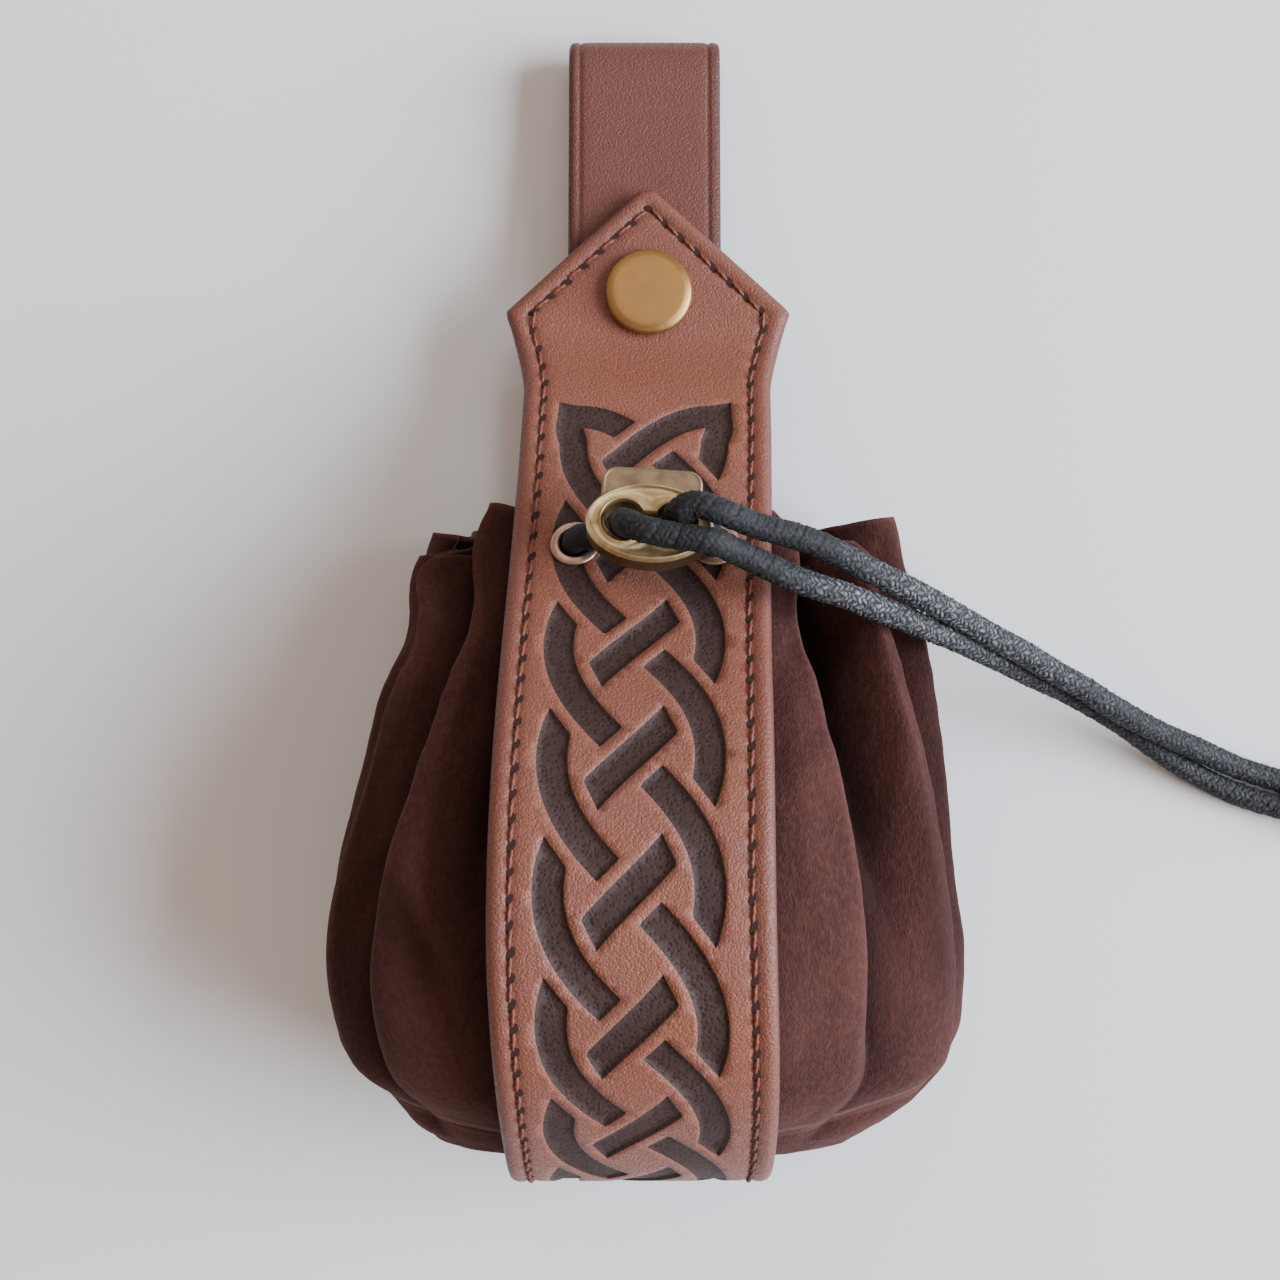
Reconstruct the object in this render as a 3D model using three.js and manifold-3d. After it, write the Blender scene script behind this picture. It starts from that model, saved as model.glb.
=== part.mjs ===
// A suede drawstring pouch on a long leather strap, lying on its back.
// Millimetres. +Z is up from the table, +Y runs from the base to the belt loop,
// +X is the right-hand side seen from above. The origin is on the table, under the
// middle of the pouch.

import * as THREE from 'three';
import { mergeVertices } from 'three/addons/utils/BufferGeometryUtils.js';
import Module from 'manifold-3d';

const wasm = await Module();
wasm.setup();

// Clearances between pieces that touch on the real pouch
const gap = 0.3;
const holePlay = 0.35;
const wrapGap = 0.45;

// The suede bag
const bagLength = 107;
const bagHalfWidth = 52.5;
const bagDepth = 64;
const suedeThickness = 1.6;
const foldDepth = 8;
const rimStep = 8;
const seamDip = 1;
const seamWidth = 3;
const bagRoundness = 2.4;
const restRound = 2;

// The strap that wraps the bag, and its pointed flap
const strapWidth = 41.5;
const strapThickness = 3;
const strapBevel = 0.6;
const flapWidth = 49;
const flapReach = 57;
const flapPointLength = 21.6;
const flapNeckFromTip = 37;
const flapTipWidth = 2.4;
const strapBackReach = 23.5;
const strapSway = 1.75;

// The belt loop, folded over at the top
const loopWidth = 27;
const loopThickness = 2.5;
const loopBevel = 0.5;
const loopReach = 86.35;
const loopBendRadius = 5.5;
const loopFrontEnd = 30.5;
const loopBackOverlap = 22;
const loopAcross = 0.15;

// The fastener on the flap
const snapFromTip = 18.6;
const snapRadius = 7.5;
const snapHeight = 2.2;
const snapPostRadius = 2;
const snapFootRadius = 4.5;
const snapFootHeight = 1;
const snapAcross = 0.9;

// The two eyelets
const eyeletsFromTip = 68.7;
const eyeletSpacing = 22.4;
const eyeletHoleRadius = 2.45;
const eyeletBarrel = 0.5;
const eyeletFlangeRadius = 4;
const eyeletFlangeHeight = 0.9;
const eyeletLipRadius = 3.8;
const eyeletLipHeight = 0.6;
const eyeletGap = 0.2;
const fittingsAcross = 0.15;

// The cord lock: an oval body with a slot for its plunger
const lockLength = 19.6;
const lockHeight = 12.6;
const lockThickness = 6;
const lockWall = 0.9;
const lockPlate = 1.2;
const lockHoleRadius = 3.15;
const lockHoleSpacing = 8.1;
const lockWaist = 2.6;
const lockEdge = 0.7;
const lockAcross = 0.8;
const lockLift = 10.5;
const lockPastEyelets = 3.5;
const lockTilt = 15;
const lockTurn = -4;
const plungerWidth = 15.6;
const plungerTravel = 1.5;
const plungerStandOut = 2.9;
const plungerCorner = 2.3;
const plungerWall = 0.8;

// The drawstring
const cordDiameter = 3.8;
const cordSides = 8;
const strandApart = 0.7;
const strandRaise = 0.5;
const knotRadius = 5;
const knotLength = 11;
const knotTail = 6;
const knotLean = -15;

const cordRadius = cordDiameter / 2;
const strapStandOff = wrapGap + strapThickness;
const overallLength = strapStandOff + bagLength + loopReach;
const baseY = -overallLength / 2 + strapStandOff;
const mouthY = baseY + bagLength;

// Cross-sections of the bag from the mouth (along 0) to the end of the base (along 1).
// left and right are shares of bagHalfWidth, top and bottom are heights as shares of
// bagDepth. A bottom under the table is flattened by it.
const SECTIONS = [
  { along: 0.0, left: 0.735, right: 0.83, top: 0.5, bottom: -0.02 },
  { along: 0.08, left: 0.767, right: 0.855, top: 0.565, bottom: -0.03 },
  { along: 0.2, left: 0.785, right: 0.925, top: 0.69, bottom: -0.07 },
  { along: 0.3, left: 0.845, right: 0.945, top: 0.812, bottom: -0.09 },
  { along: 0.42, left: 0.905, right: 0.96, top: 0.92, bottom: -0.1 },
  { along: 0.55, left: 0.968, right: 0.974, top: 0.984, bottom: -0.1 },
  { along: 0.66, left: 1.0, right: 1.0, top: 1.0, bottom: -0.1 },
  { along: 0.75, left: 0.99, right: 1.0, top: 0.965, bottom: -0.08 },
  { along: 0.84, left: 0.925, right: 0.975, top: 0.88, bottom: 0.01 },
  { along: 0.91, left: 0.785, right: 0.83, top: 0.77, bottom: 0.13 },
  { along: 0.96, left: 0.68, right: 0.69, top: 0.665, bottom: 0.22 },
  { along: 0.985, left: 0.54, right: 0.53, top: 0.585, bottom: 0.32 },
  { along: 1.0, left: 0.0, right: 0.0, top: 0.47, bottom: 0.47 },
];

// The creases between the gathers, as angles round the bag from its right side over the
// front. Each crease wanders from its angle at the mouth to its angle at the belly, and
// fades out at a share of the bag's length. depth is a share of foldDepth, and drop is
// how far the gather after the crease ends short of the mouth, as a share of rimStep.
const CREASES = [
  { mouth: 8, belly: 2, depth: 0.9, fades: 0.8, drop: 0.05 },
  { mouth: 38, belly: 19, depth: 1.0, fades: 0.86, drop: 0.6 },
  { mouth: 61, belly: 47, depth: 1.0, fades: 0.92, drop: 0.05 },
  { mouth: 84, belly: 80, depth: 0.9, fades: 0.7, drop: 0.35 },
  { mouth: 108, belly: 108, depth: 0.9, fades: 0.7, drop: 0.0 },
  { mouth: 132, belly: 148, depth: 1.0, fades: 0.92, drop: 0.92 },
  { mouth: 157, belly: 168, depth: 1.0, fades: 0.8, drop: 0.9 },
  { mouth: 182, belly: 186, depth: 0.8, fades: 0.75, drop: 0.3 },
  { mouth: 210, belly: 208, depth: 0.6, fades: 0.7, drop: 0.2 },
  { mouth: 236, belly: 236, depth: 0.5, fades: 0.6, drop: 0.5 },
  { mouth: 262, belly: 262, depth: 0.5, fades: 0.6, drop: 0.4 },
  { mouth: 290, belly: 290, depth: 0.5, fades: 0.6, drop: 0.5 },
  { mouth: 318, belly: 320, depth: 0.6, fades: 0.65, drop: 0.3 },
  { mouth: 345, belly: 344, depth: 0.8, fades: 0.75, drop: 0.4 },
];

// Where the columns of the bag's grid stand within a gather, and its rows down the wall
// and over the base
const GATHER_SHARES = [0, 0.12, 0.3, 0.5, 0.7, 0.88];
const WALL_SHARES = Array.from({ length: 13 }, (_, step) => step / 12);
const BASE_SHARES = [0, 0.35, 0.7, 0.9, 1];

// The flap's run from its tip to the mouth: out is a share of flapReach past the mouth,
// height a share of the strap's height at the mouth.
const FLAP_LINE = [
  { out: 1.0, height: 0.475 },
  { out: 0.8, height: 0.499 },
  { out: 0.6, height: 0.525 },
  { out: 0.53, height: 0.54 },
  { out: 0.45, height: 0.6 },
  { out: 0.36, height: 0.7 },
  { out: 0.24, height: 0.815 },
  { out: 0.12, height: 0.91 },
];

// How a cord climbs from an eyelet to the lock: across is a share of the way, up is
// in millimetres above the eyelet.
const CLIMB = [
  { across: 0.0, up: 0.0 },
  { across: 0.09, up: 1.7 },
  { across: 0.38, up: 3.1 },
  { across: 0.74, up: 3.7 },
  { across: 0.95, up: 4.8 },
];

// The drawstring's way round the inside of the mouth, from the left eyelet to the right
const INSIDE_ROUTE = [
  [-11.6, 1.2, 29.0],
  [-14.2, 0.5, 24.6],
  [-20.5, -0.4, 22.9],
  [-26.2, -0.5, 20.8],
  [-28.2, -0.5, 17.4],
  [-25.2, -0.5, 14.3],
  [-16.5, -0.5, 12.6],
  [-5.0, -0.5, 12.1],
  [8.0, -0.5, 12.1],
  [20.0, -0.5, 12.8],
  [28.6, -0.5, 15.0],
  [31.6, -0.5, 18.4],
  [29.6, -0.5, 21.2],
  [23.6, -0.4, 22.9],
  [16.4, 0.2, 24.6],
  [12.3, 1.0, 28.6],
];

// The free strands past the lock, over the right-hand gathers and down to the table
const UPPER_ROUTE = [
  [17.1, 8.0, 52.0],
  [26.3, 5.6, 48.0],
  [35.9, 1.4, 43.0],
  [45.5, -2.8, 37.0],
  [57.3, -8.4, 28.8],
  [66.0, -12.6, 23.4],
  [77.0, -18.2, 17.0],
  [88.5, -24.4, 11.0],
  [98.0, -28.3, 6.9],
  [107.8, -32.6, 3.7],
  [116.6, -35.4, 2.1],
  [121.6, -36.9, 2.1],
];
const LOWER_ROUTE = [
  [14.1, 3.8, 53.2],
  [23.4, -0.1, 48.5],
  [32.9, -2.9, 42.8],
  [43.3, -6.5, 35.6],
  [54.2, -10.2, 27.2],
  [65.3, -14.8, 19.0],
  [77.2, -19.8, 12.2],
  [88.9, -26.5, 6.6],
  [100.7, -34.0, 3.2],
  [108.3, -37.6, 2.3],
  [116.7, -40.3, 2.1],
  [121.6, -41.5, 2.1],
];

const FINISH = {
  suede: { color: 0x4a2e2a, roughness: 0.95, metalness: 0 },
  leather: { color: 0x8e5843, roughness: 0.55, metalness: 0 },
  loopLeather: { color: 0x7d5044, roughness: 0.55, metalness: 0 },
  brass: { color: 0xa37c4f, roughness: 0.35, metalness: 1 },
  agedBrass: { color: 0x9a8560, roughness: 0.4, metalness: 1 },
  cord: { color: 0x23272a, roughness: 0.7, metalness: 0 },
};

const pouch = new THREE.Group();

function addMesh(name, geometry, finish, parent = pouch) {
  const mesh = new THREE.Mesh(geometry, new THREE.MeshStandardMaterial(FINISH[finish]));
  mesh.name = name;
  parent.add(mesh);
  return mesh;
}

// Small maths

function mix(a, b, t) {
  return a + (b - a) * t;
}

function ease(from, to, x) {
  const t = THREE.MathUtils.clamp((x - from) / (to - from), 0, 1);
  return t * t * (3 - 2 * t);
}

// The larger of two heights, with a rounded change from one to the other
function softMax(a, b, round) {
  const near = Math.max(0, 1 - Math.abs(a - b) / round);
  return Math.max(a, b) + (round / 4) * near * near;
}

// A column of a table at any place along it, on a smooth curve through its rows
function column(table, name, place, key = 'along') {
  const last = table.length - 1;
  let i = table.findIndex((row) => row[key] > place) - 1;
  if (i < 0) i = last - 1;
  const [a, b] = [table[i], table[i + 1]];
  const before = table[Math.max(0, i - 1)];
  const after = table[Math.min(last, i + 2)];
  const span = b[key] - a[key];
  const slopeA = ((b[name] - before[name]) / (b[key] - before[key])) * span;
  const slopeB = ((after[name] - a[name]) / (after[key] - a[key])) * span;
  const t = (place - a[key]) / span;
  const t2 = t * t;
  const t3 = t2 * t;
  return (
    (2 * t3 - 3 * t2 + 1) * a[name] +
    (t3 - 2 * t2 + t) * slopeA +
    (3 * t2 - 2 * t3) * b[name] +
    (t3 - t2) * slopeB
  );
}

// Solids and booleans

function outward(geometry) {
  const p = geometry.attributes.position;
  const index = geometry.index.array;
  const [a, b, c] = [new THREE.Vector3(), new THREE.Vector3(), new THREE.Vector3()];
  let volume = 0;
  for (let i = 0; i < index.length; i += 3) {
    a.fromBufferAttribute(p, index[i]);
    b.fromBufferAttribute(p, index[i + 1]);
    c.fromBufferAttribute(p, index[i + 2]);
    volume += a.dot(b.cross(c));
  }
  if (volume < 0) index.reverse();
  return geometry;
}

function fromPoints(points, triangles) {
  const geometry = new THREE.BufferGeometry();
  geometry.setAttribute('position', new THREE.Float32BufferAttribute(points.flat(), 3));
  geometry.setIndex(new THREE.Uint32BufferAttribute(triangles, 1));
  return outward(geometry);
}

// One closed skin: shared corners merged, and triangles without area left out
function welded(geometry) {
  const bare = new THREE.BufferGeometry();
  bare.setAttribute('position', geometry.attributes.position.clone());
  if (geometry.index) bare.setIndex(geometry.index.clone());
  const merged = mergeVertices(bare, 1e-3);
  const corners = merged.index.array;
  const kept = [];
  for (let i = 0; i < corners.length; i += 3) {
    const [a, b, c] = corners.slice(i, i + 3);
    if (a !== b && b !== c && c !== a) kept.push(a, b, c);
  }
  merged.setIndex(new THREE.Uint32BufferAttribute(kept, 1));
  return outward(merged);
}

function toSolid(geometry) {
  const joined = welded(geometry);
  return new wasm.Manifold(
    new wasm.Mesh({
      numProp: 3,
      vertProperties: new Float32Array(joined.attributes.position.array),
      triVerts: new Uint32Array(joined.index.array),
    })
  );
}

function toGeometry(solid) {
  const mesh = solid.getMesh();
  const geometry = new THREE.BufferGeometry();
  geometry.setAttribute('position', new THREE.Float32BufferAttribute(mesh.vertProperties, 3));
  geometry.setIndex(new THREE.Uint32BufferAttribute(mesh.triVerts, 1));
  return geometry;
}

function cut(geometry, cutters) {
  let solid = toSolid(geometry);
  for (const cutter of cutters) solid = solid.subtract(toSolid(cutter));
  return toGeometry(solid);
}

function turned(profile, sides) {
  const points = profile.map(([radius, height]) => new THREE.Vector2(radius, height));
  return welded(new THREE.LatheGeometry(points, sides).rotateX(Math.PI / 2));
}

// A straight cutter for a round hole along +Z
function drill(radius, from, to, sides = 20) {
  return new THREE.CylinderGeometry(radius, radius, to - from, sides)
    .rotateX(Math.PI / 2)
    .translate(0, 0, (from + to) / 2);
}

// The bag's surface

// The height that the bag rests on: the back strap in the middle, the table beside it
function restHeight(x) {
  const strapEdge = strapWidth / 2 + strapSway;
  return strapStandOff * (1 - ease(strapEdge, strapEdge + 5, Math.abs(x)));
}

function creaseAngle(crease, along) {
  return mix(crease.mouth, crease.belly, ease(0, 0.62, along));
}

function creaseDepth(crease, along) {
  const left = 1 - along / crease.fades;
  return left > 0 ? foldDepth * crease.depth * Math.min(1, 1.15 * left ** 0.75) : 0;
}

function seamAlong(angle) {
  const side = Math.cos(angle) > 0 ? 0.81 : 0.87;
  return mix(side, 0.94, Math.abs(Math.sin(angle)));
}

// A point of the bag's outside: gather is the number of the crease before it and share
// the way from that crease to the next one.
function bagPoint(gather, share, along) {
  const crease = CREASES[gather % CREASES.length];
  const next = CREASES[(gather + 1) % CREASES.length];
  const start = creaseAngle(crease, along);
  const end = creaseAngle(next, along) + (next.mouth < crease.mouth ? 360 : 0);
  const angle = THREE.MathUtils.degToRad(mix(start, end, share));
  const [cos, sin] = [Math.cos(angle), Math.sin(angle)];
  const width = bagHalfWidth * column(SECTIONS, cos > 0 ? 'right' : 'left', along);
  const top = bagDepth * column(SECTIONS, 'top', along);
  const bottom = bagDepth * column(SECTIONS, 'bottom', along);
  const rise = Math.max((top - bottom) / 2, 1e-6);
  const half = Math.max(width, 1e-6);
  let x = half * Math.sign(cos) * Math.abs(cos) ** (2 / bagRoundness);
  let z = rise * Math.sign(sin) * Math.abs(sin) ** (2 / bagRoundness);
  const normalX = (Math.sign(x) * Math.abs(x / half) ** (bagRoundness - 1)) / half;
  const normalZ = (Math.sign(z) * Math.abs(z / rise) ** (bagRoundness - 1)) / rise;
  const size = Math.hypot(normalX, normalZ) || 1;
  const fromCrease = 2 * Math.min(share, 1 - share);
  const nearest = share < 0.5 ? crease : next;
  const crown = Math.sin((Math.PI / 2) * fromCrease);
  const seam = (along - seamAlong(angle)) * bagLength;
  const dip = seamDip * Math.exp(-((seam / seamWidth) ** 2));
  const inward = Math.min(creaseDepth(nearest, along) * (1 - crown) + dip, 0.6 * half);
  x -= (inward * normalX) / size;
  z -= (inward * normalZ) / size;
  z = softMax(z + (top + bottom) / 2, restHeight(x), restRound);
  const drop = rimStep * mix(mix(crease.drop, 0.5, 0.6), crease.drop, crown);
  const short = drop * Math.max(0, 1 - along / 0.25) ** 2;
  return new THREE.Vector3(x, mouthY - short - along * bagLength, z);
}

// The way out of the bag's surface at a point
function bagNormal(gather, share, along) {
  const count = CREASES.length;
  const [aside, down] = [0.02, 0.004];
  const after = (gather + Math.floor(share + aside)) % count;
  const before = (gather + count + Math.floor(share - aside)) % count;
  const around = bagPoint(after, (share + aside) % 1, along);
  around.sub(bagPoint(before, (share + 1 - aside) % 1, along));
  if (around.length() < 0.01) return new THREE.Vector3(0, -1, 0);
  const below = bagPoint(gather, share, Math.min(1, along + down));
  below.sub(bagPoint(gather, share, Math.max(0, along - down)));
  return around.cross(below).normalize();
}

// A shell of even thickness over a grid of the bag's outside points, whose columns
// close round the bag. A closed end is a row that shrinks to one point.
function shell(rows, thickness, closedEnd) {
  const columns = rows[0].length;
  const outside = rows.flat().map(({ point }) => point);
  const inside = rows.flat().map(({ point, out }) => point.clone().addScaledVector(out, -thickness));
  const points = [...outside, ...inside].map((point) => point.toArray());
  const triangles = [];
  const at = (row, col, within = 0) => (within * rows.length + row) * columns + (col % columns);
  const quad = (a, b, c, d) => triangles.push(a, b, c, a, c, d);
  const last = rows.length - 1;
  for (let c = 0; c < columns; c++) {
    for (let r = 0; r < last; r++) {
      quad(at(r, c), at(r, c + 1), at(r + 1, c + 1), at(r + 1, c));
      quad(at(r, c + 1, 1), at(r, c, 1), at(r + 1, c, 1), at(r + 1, c + 1, 1));
    }
    quad(at(0, c + 1), at(0, c), at(0, c, 1), at(0, c + 1, 1));
    if (!closedEnd) quad(at(last, c), at(last, c + 1), at(last, c + 1, 1), at(last, c, 1));
  }
  return welded(fromPoints(points, triangles));
}

function bagRows(places) {
  return places.map((place) =>
    CREASES.flatMap((crease, gather) =>
      GATHER_SHARES.map((share) => {
        const next = CREASES[(gather + 1) % CREASES.length];
        const end = next.belly + (next.belly < crease.belly ? 360 : 0);
        const along = place(seamAlong(THREE.MathUtils.degToRad(mix(crease.belly, end, share))));
        return { point: bagPoint(gather, share, along), out: bagNormal(gather, share, along) };
      })
    )
  );
}

const seamGap = gap / bagLength / 2;

function wallGeometry() {
  const places = WALL_SHARES.map((share) => (seam) => (seam - seamGap) * share);
  return shell(bagRows(places), suedeThickness, false);
}

function baseGeometry() {
  const places = BASE_SHARES.map((share) => (seam) => mix(seam + 2 * seamGap, 1, share));
  return shell(bagRows(places), suedeThickness, true);
}

// Straps: ribbons along a line in the plane x = 0

class Line extends THREE.CatmullRomCurve3 {
  // The place on the line, the way it runs and its outward side, at a distance along it
  frame(distance) {
    const share = THREE.MathUtils.clamp(distance / this.getLength(), 0, 1);
    const along = this.getTangentAt(share);
    const out = new THREE.Vector3(1, 0, 0).cross(along).negate();
    return { point: this.getPointAt(share), along, out: out.normalize() };
  }
}

function ribbon(line, stations, widthAt, thickness, bevel) {
  const points = [];
  const triangles = [];
  const sides = 8;
  for (const distance of stations) {
    const { point, out } = line.frame(distance);
    const half = widthAt(distance) / 2;
    const b = Math.min(bevel, half * 0.4);
    const outline = [
      [-half + b, 0],
      [half - b, 0],
      [half, -b],
      [half, -thickness + b],
      [half - b, -thickness],
      [-half + b, -thickness],
      [-half, -thickness + b],
      [-half, -b],
    ];
    for (const [across, up] of outline) {
      const corner = point.clone().addScaledVector(out, up);
      points.push([corner.x + across, corner.y, Math.max(0, corner.z)]);
    }
  }
  for (let s = 0; s < stations.length - 1; s++) {
    for (let k = 0; k < sides; k++) {
      const [a, b] = [s * sides + k, s * sides + ((k + 1) % sides)];
      triangles.push(a, b, b + sides, a, b + sides, a + sides);
    }
  }
  const last = (stations.length - 1) * sides;
  for (let k = 1; k < sides - 1; k++) {
    triangles.push(0, k + 1, k, last, last + k, last + k + 1);
  }
  return fromPoints(points, triangles);
}

function spread(from, to, count) {
  return Array.from({ length: count }, (_, i) => mix(from, to, i / (count - 1)));
}

// The bag's middle line, over the front, round the end and back under it
function bagMiddle() {
  const places = [...spread(0, 0.75, 8), ...spread(0.79, 0.985, 10)];
  const front = places.map((place) => [place, bagDepth * column(SECTIONS, 'top', place)]);
  const back = places.map((place) => [
    place,
    softMax(bagDepth * column(SECTIONS, 'bottom', place), restHeight(0), restRound),
  ]);
  const end = [[1, bagDepth * column(SECTIONS, 'top', 1 - 1e-9)]];
  return [...front, ...end, ...back.reverse()].map(
    ([place, height]) => new THREE.Vector2(mouthY - place * bagLength, height)
  );
}

// Moves a line of (y, z) points outward, to its left
function offsetLine(points, distance) {
  return points.map((point, i) => {
    const before = points[Math.max(0, i - 1)];
    const after = points[Math.min(points.length - 1, i + 1)];
    const way = after.clone().sub(before).normalize();
    return new THREE.Vector2(point.x + way.y * distance, point.y - way.x * distance);
  });
}

// The strap leans a little: right at the flap, left over the belly
function strapCentre(y, onBack) {
  if (onBack) return -0.35 * strapSway;
  const share = (y - baseY) / bagLength;
  const flapSide = mix(-0.35, 0.4, ease(0.75, 1.3, share));
  const belly = -0.75 * ease(0, 0.45, share) * (1 - ease(0.45, 1.1, share));
  return strapSway * (flapSide + belly);
}

const wrapLine = offsetLine(bagMiddle(), strapStandOff);
const strapHeightAtMouth = wrapLine[0].y;

function strapLine() {
  const flap = FLAP_LINE.map(
    (row) => new THREE.Vector2(mouthY + row.out * flapReach, row.height * strapHeightAtMouth)
  );
  const backEnd = [0.5, 1].map((share) => new THREE.Vector2(mouthY + share * strapBackReach, 0));
  const endIndex = flap.length + wrapLine.length / 2;
  const points = [...flap, ...wrapLine, ...backEnd];
  return new Line(
    points.map(({ x: y, y: z }, i) => new THREE.Vector3(strapCentre(y, i > endIndex), y, Math.max(0, z))),
    false,
    'centripetal'
  );
}

const strap = strapLine();
const strapLength = strap.getLength();

function strapWidthAt(distance) {
  if (distance < flapPointLength) {
    return mix(flapTipWidth, flapWidth, distance / flapPointLength);
  }
  const toNeck = (distance - flapPointLength) / (flapNeckFromTip - flapPointLength);
  const waist = Math.max(0, 1 - toNeck) ** 1.5;
  const corner = Math.max(0, distance - strapLength + 3) / 3;
  return mix(strapWidth, flapWidth, waist) - 3 * corner ** 2;
}

function strapGeometry() {
  const stations = [
    ...spread(0, flapPointLength, 5),
    ...spread(flapPointLength, flapNeckFromTip, 6).slice(1),
    ...spread(flapNeckFromTip, strapLength, 54).slice(1),
  ];
  return ribbon(strap, stations, strapWidthAt, strapThickness, strapBevel);
}

// The belt loop's outside: from its end on the back strap down to the table, round the
// fold and back to its front end under the flap
function loopLine() {
  const onStrap = strapThickness + gap;
  const leaves = strapBackReach + 1;
  const lands = leaves + 3 * onStrap;
  const bendY = loopReach - loopBendRadius;
  const back = [strapBackReach - loopBackOverlap, strapBackReach - 4, ...spread(leaves, lands, 6)].map(
    (y) => [y, onStrap * (1 - ease(leaves, lands, y))]
  );
  const bend = spread(-90, 90, 7).map((angle) => {
    const turn = THREE.MathUtils.degToRad(angle);
    return [bendY + loopBendRadius * Math.cos(turn), loopBendRadius * (1 + Math.sin(turn))];
  });
  const flapLine = [...FLAP_LINE].reverse();
  const front = spread(1, 0, 7).map((share) => {
    const y = mix(loopFrontEnd, flapReach, share);
    const height = column(flapLine, 'height', y / flapReach, 'out');
    return [y, height * strapHeightAtMouth - strapStandOff];
  });
  const foldTop = [mix(bendY, flapReach, 0.45), mix(2 * loopBendRadius, front[0][1], 0.3)];
  const points = [...back, ...spread(lands + 4, bendY - 6, 4).map((y) => [y, 0]), ...bend, foldTop, ...front];
  return new Line(
    points.map(([y, z]) => new THREE.Vector3(loopAcross, mouthY + y, z)),
    false,
    'centripetal'
  );
}

const loop = loopLine();

function loopGeometry() {
  const length = loop.getLength();
  const widthAt = (distance) => {
    const fromEnd = Math.min(distance, length - distance);
    return loopWidth - 3 * Math.max(0, 1 - fromEnd / 3) ** 2;
  };
  const stations = [0, 1.2, 3, ...spread(6, length - 4, 50), length - 1.2, length];
  return ribbon(loop, stations, widthAt, loopThickness, loopBevel);
}

// Turns +Z to the way out of a strap at a distance along it, and +Y up the strap
function seat(line, distance, across, height = 0) {
  const { point, along, out } = line.frame(distance);
  const matrix = new THREE.Matrix4().makeBasis(new THREE.Vector3(1, 0, 0), along.negate(), out);
  const place = new THREE.Vector3(across, point.y, point.z).addScaledVector(out, height);
  return matrix.setPosition(place);
}

function place(mesh, matrix) {
  matrix.decompose(mesh.position, mesh.quaternion, mesh.scale);
  return mesh;
}

// The fastener
const snapSeat = seat(strap, snapFromTip, snapAcross);
const snapReach = strapThickness + gap + loopThickness + 2 * gap;

function snapCapGeometry() {
  const rim = snapHeight * 0.35;
  return turned(
    [
      [0, gap],
      [snapRadius - 0.4, gap],
      [snapRadius, gap + rim * 0.5],
      [snapRadius, gap + rim],
      [snapRadius - 0.35, gap + snapHeight * 0.8],
      [snapRadius - 1.1, gap + snapHeight * 0.93],
      [snapRadius * 0.5, gap + snapHeight],
      [0, gap + snapHeight],
    ],
    28
  );
}

function snapPostGeometry() {
  return turned(
    [
      [0, -snapReach - snapFootHeight],
      [snapFootRadius, -snapReach - snapFootHeight],
      [snapFootRadius, -snapReach],
      [snapPostRadius, -snapReach],
      [snapPostRadius, 0],
      [0, 0],
    ],
    20
  );
}

// The eyelets
const eyeletSeats = [-1, 1].map((side) =>
  seat(strap, eyeletsFromTip, fittingsAcross + (side * eyeletSpacing) / 2)
);
const eyeletBack = -strapThickness - eyeletGap;

function eyeletGeometry() {
  const barrel = eyeletHoleRadius + eyeletBarrel;
  const top = eyeletGap + eyeletFlangeHeight;
  return turned(
    [
      [eyeletHoleRadius, eyeletBack - eyeletLipHeight],
      [eyeletLipRadius, eyeletBack - eyeletLipHeight],
      [eyeletLipRadius, eyeletBack],
      [barrel, eyeletBack],
      [barrel, eyeletGap],
      [eyeletFlangeRadius, eyeletGap],
      [eyeletFlangeRadius, top * 0.6],
      [eyeletFlangeRadius - 0.4, top],
      [eyeletHoleRadius + 0.35, top],
      [eyeletHoleRadius, top * 0.75],
      [eyeletHoleRadius, eyeletBack - eyeletLipHeight],
    ],
    20
  );
}

// Cutters for the eyelets through the strap and through the suede behind it
const barrelCutter = drill(eyeletHoleRadius + eyeletBarrel + holePlay, -2 * strapThickness, strapThickness);
const suedeCutter = drill(eyeletLipRadius + gap, -18, strapThickness);
const postCutter = drill(snapPostRadius + holePlay, -4 * strapThickness, strapThickness);

addMesh(
  'suede_wall',
  cut(wallGeometry(), eyeletSeats.map((matrix) => suedeCutter.clone().applyMatrix4(matrix))),
  'suede'
);
addMesh('suede_base', baseGeometry(), 'suede');
addMesh(
  'wrap_strap',
  cut(strapGeometry(), [
    ...eyeletSeats.map((matrix) => barrelCutter.clone().applyMatrix4(matrix)),
    postCutter.clone().applyMatrix4(snapSeat),
  ]),
  'leather'
);
addMesh('belt_loop', cut(loopGeometry(), [postCutter.clone().applyMatrix4(snapSeat)]), 'loopLeather');
place(addMesh('snap_cap', snapCapGeometry(), 'brass'), snapSeat);
place(addMesh('snap_post', snapPostGeometry(), 'brass'), snapSeat);
['eyelet_left', 'eyelet_right'].forEach((name, i) => {
  place(addMesh(name, eyeletGeometry(), 'agedBrass'), eyeletSeats[i]);
});

// The cord lock. Its own frame has +Z out of its face and +Y the way the plunger
// stands out.
const lockSeat = (() => {
  const { point, out } = strap.frame(eyeletsFromTip + lockPastEyelets);
  const centre = new THREE.Vector3(lockAcross, point.y, point.z).addScaledVector(out, lockLift);
  const turn = new THREE.Euler(
    THREE.MathUtils.degToRad(-lockTilt),
    0,
    THREE.MathUtils.degToRad(lockTurn),
    'XYZ'
  );
  return new THREE.Matrix4().makeRotationFromEuler(turn).setPosition(centre);
})();

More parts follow.
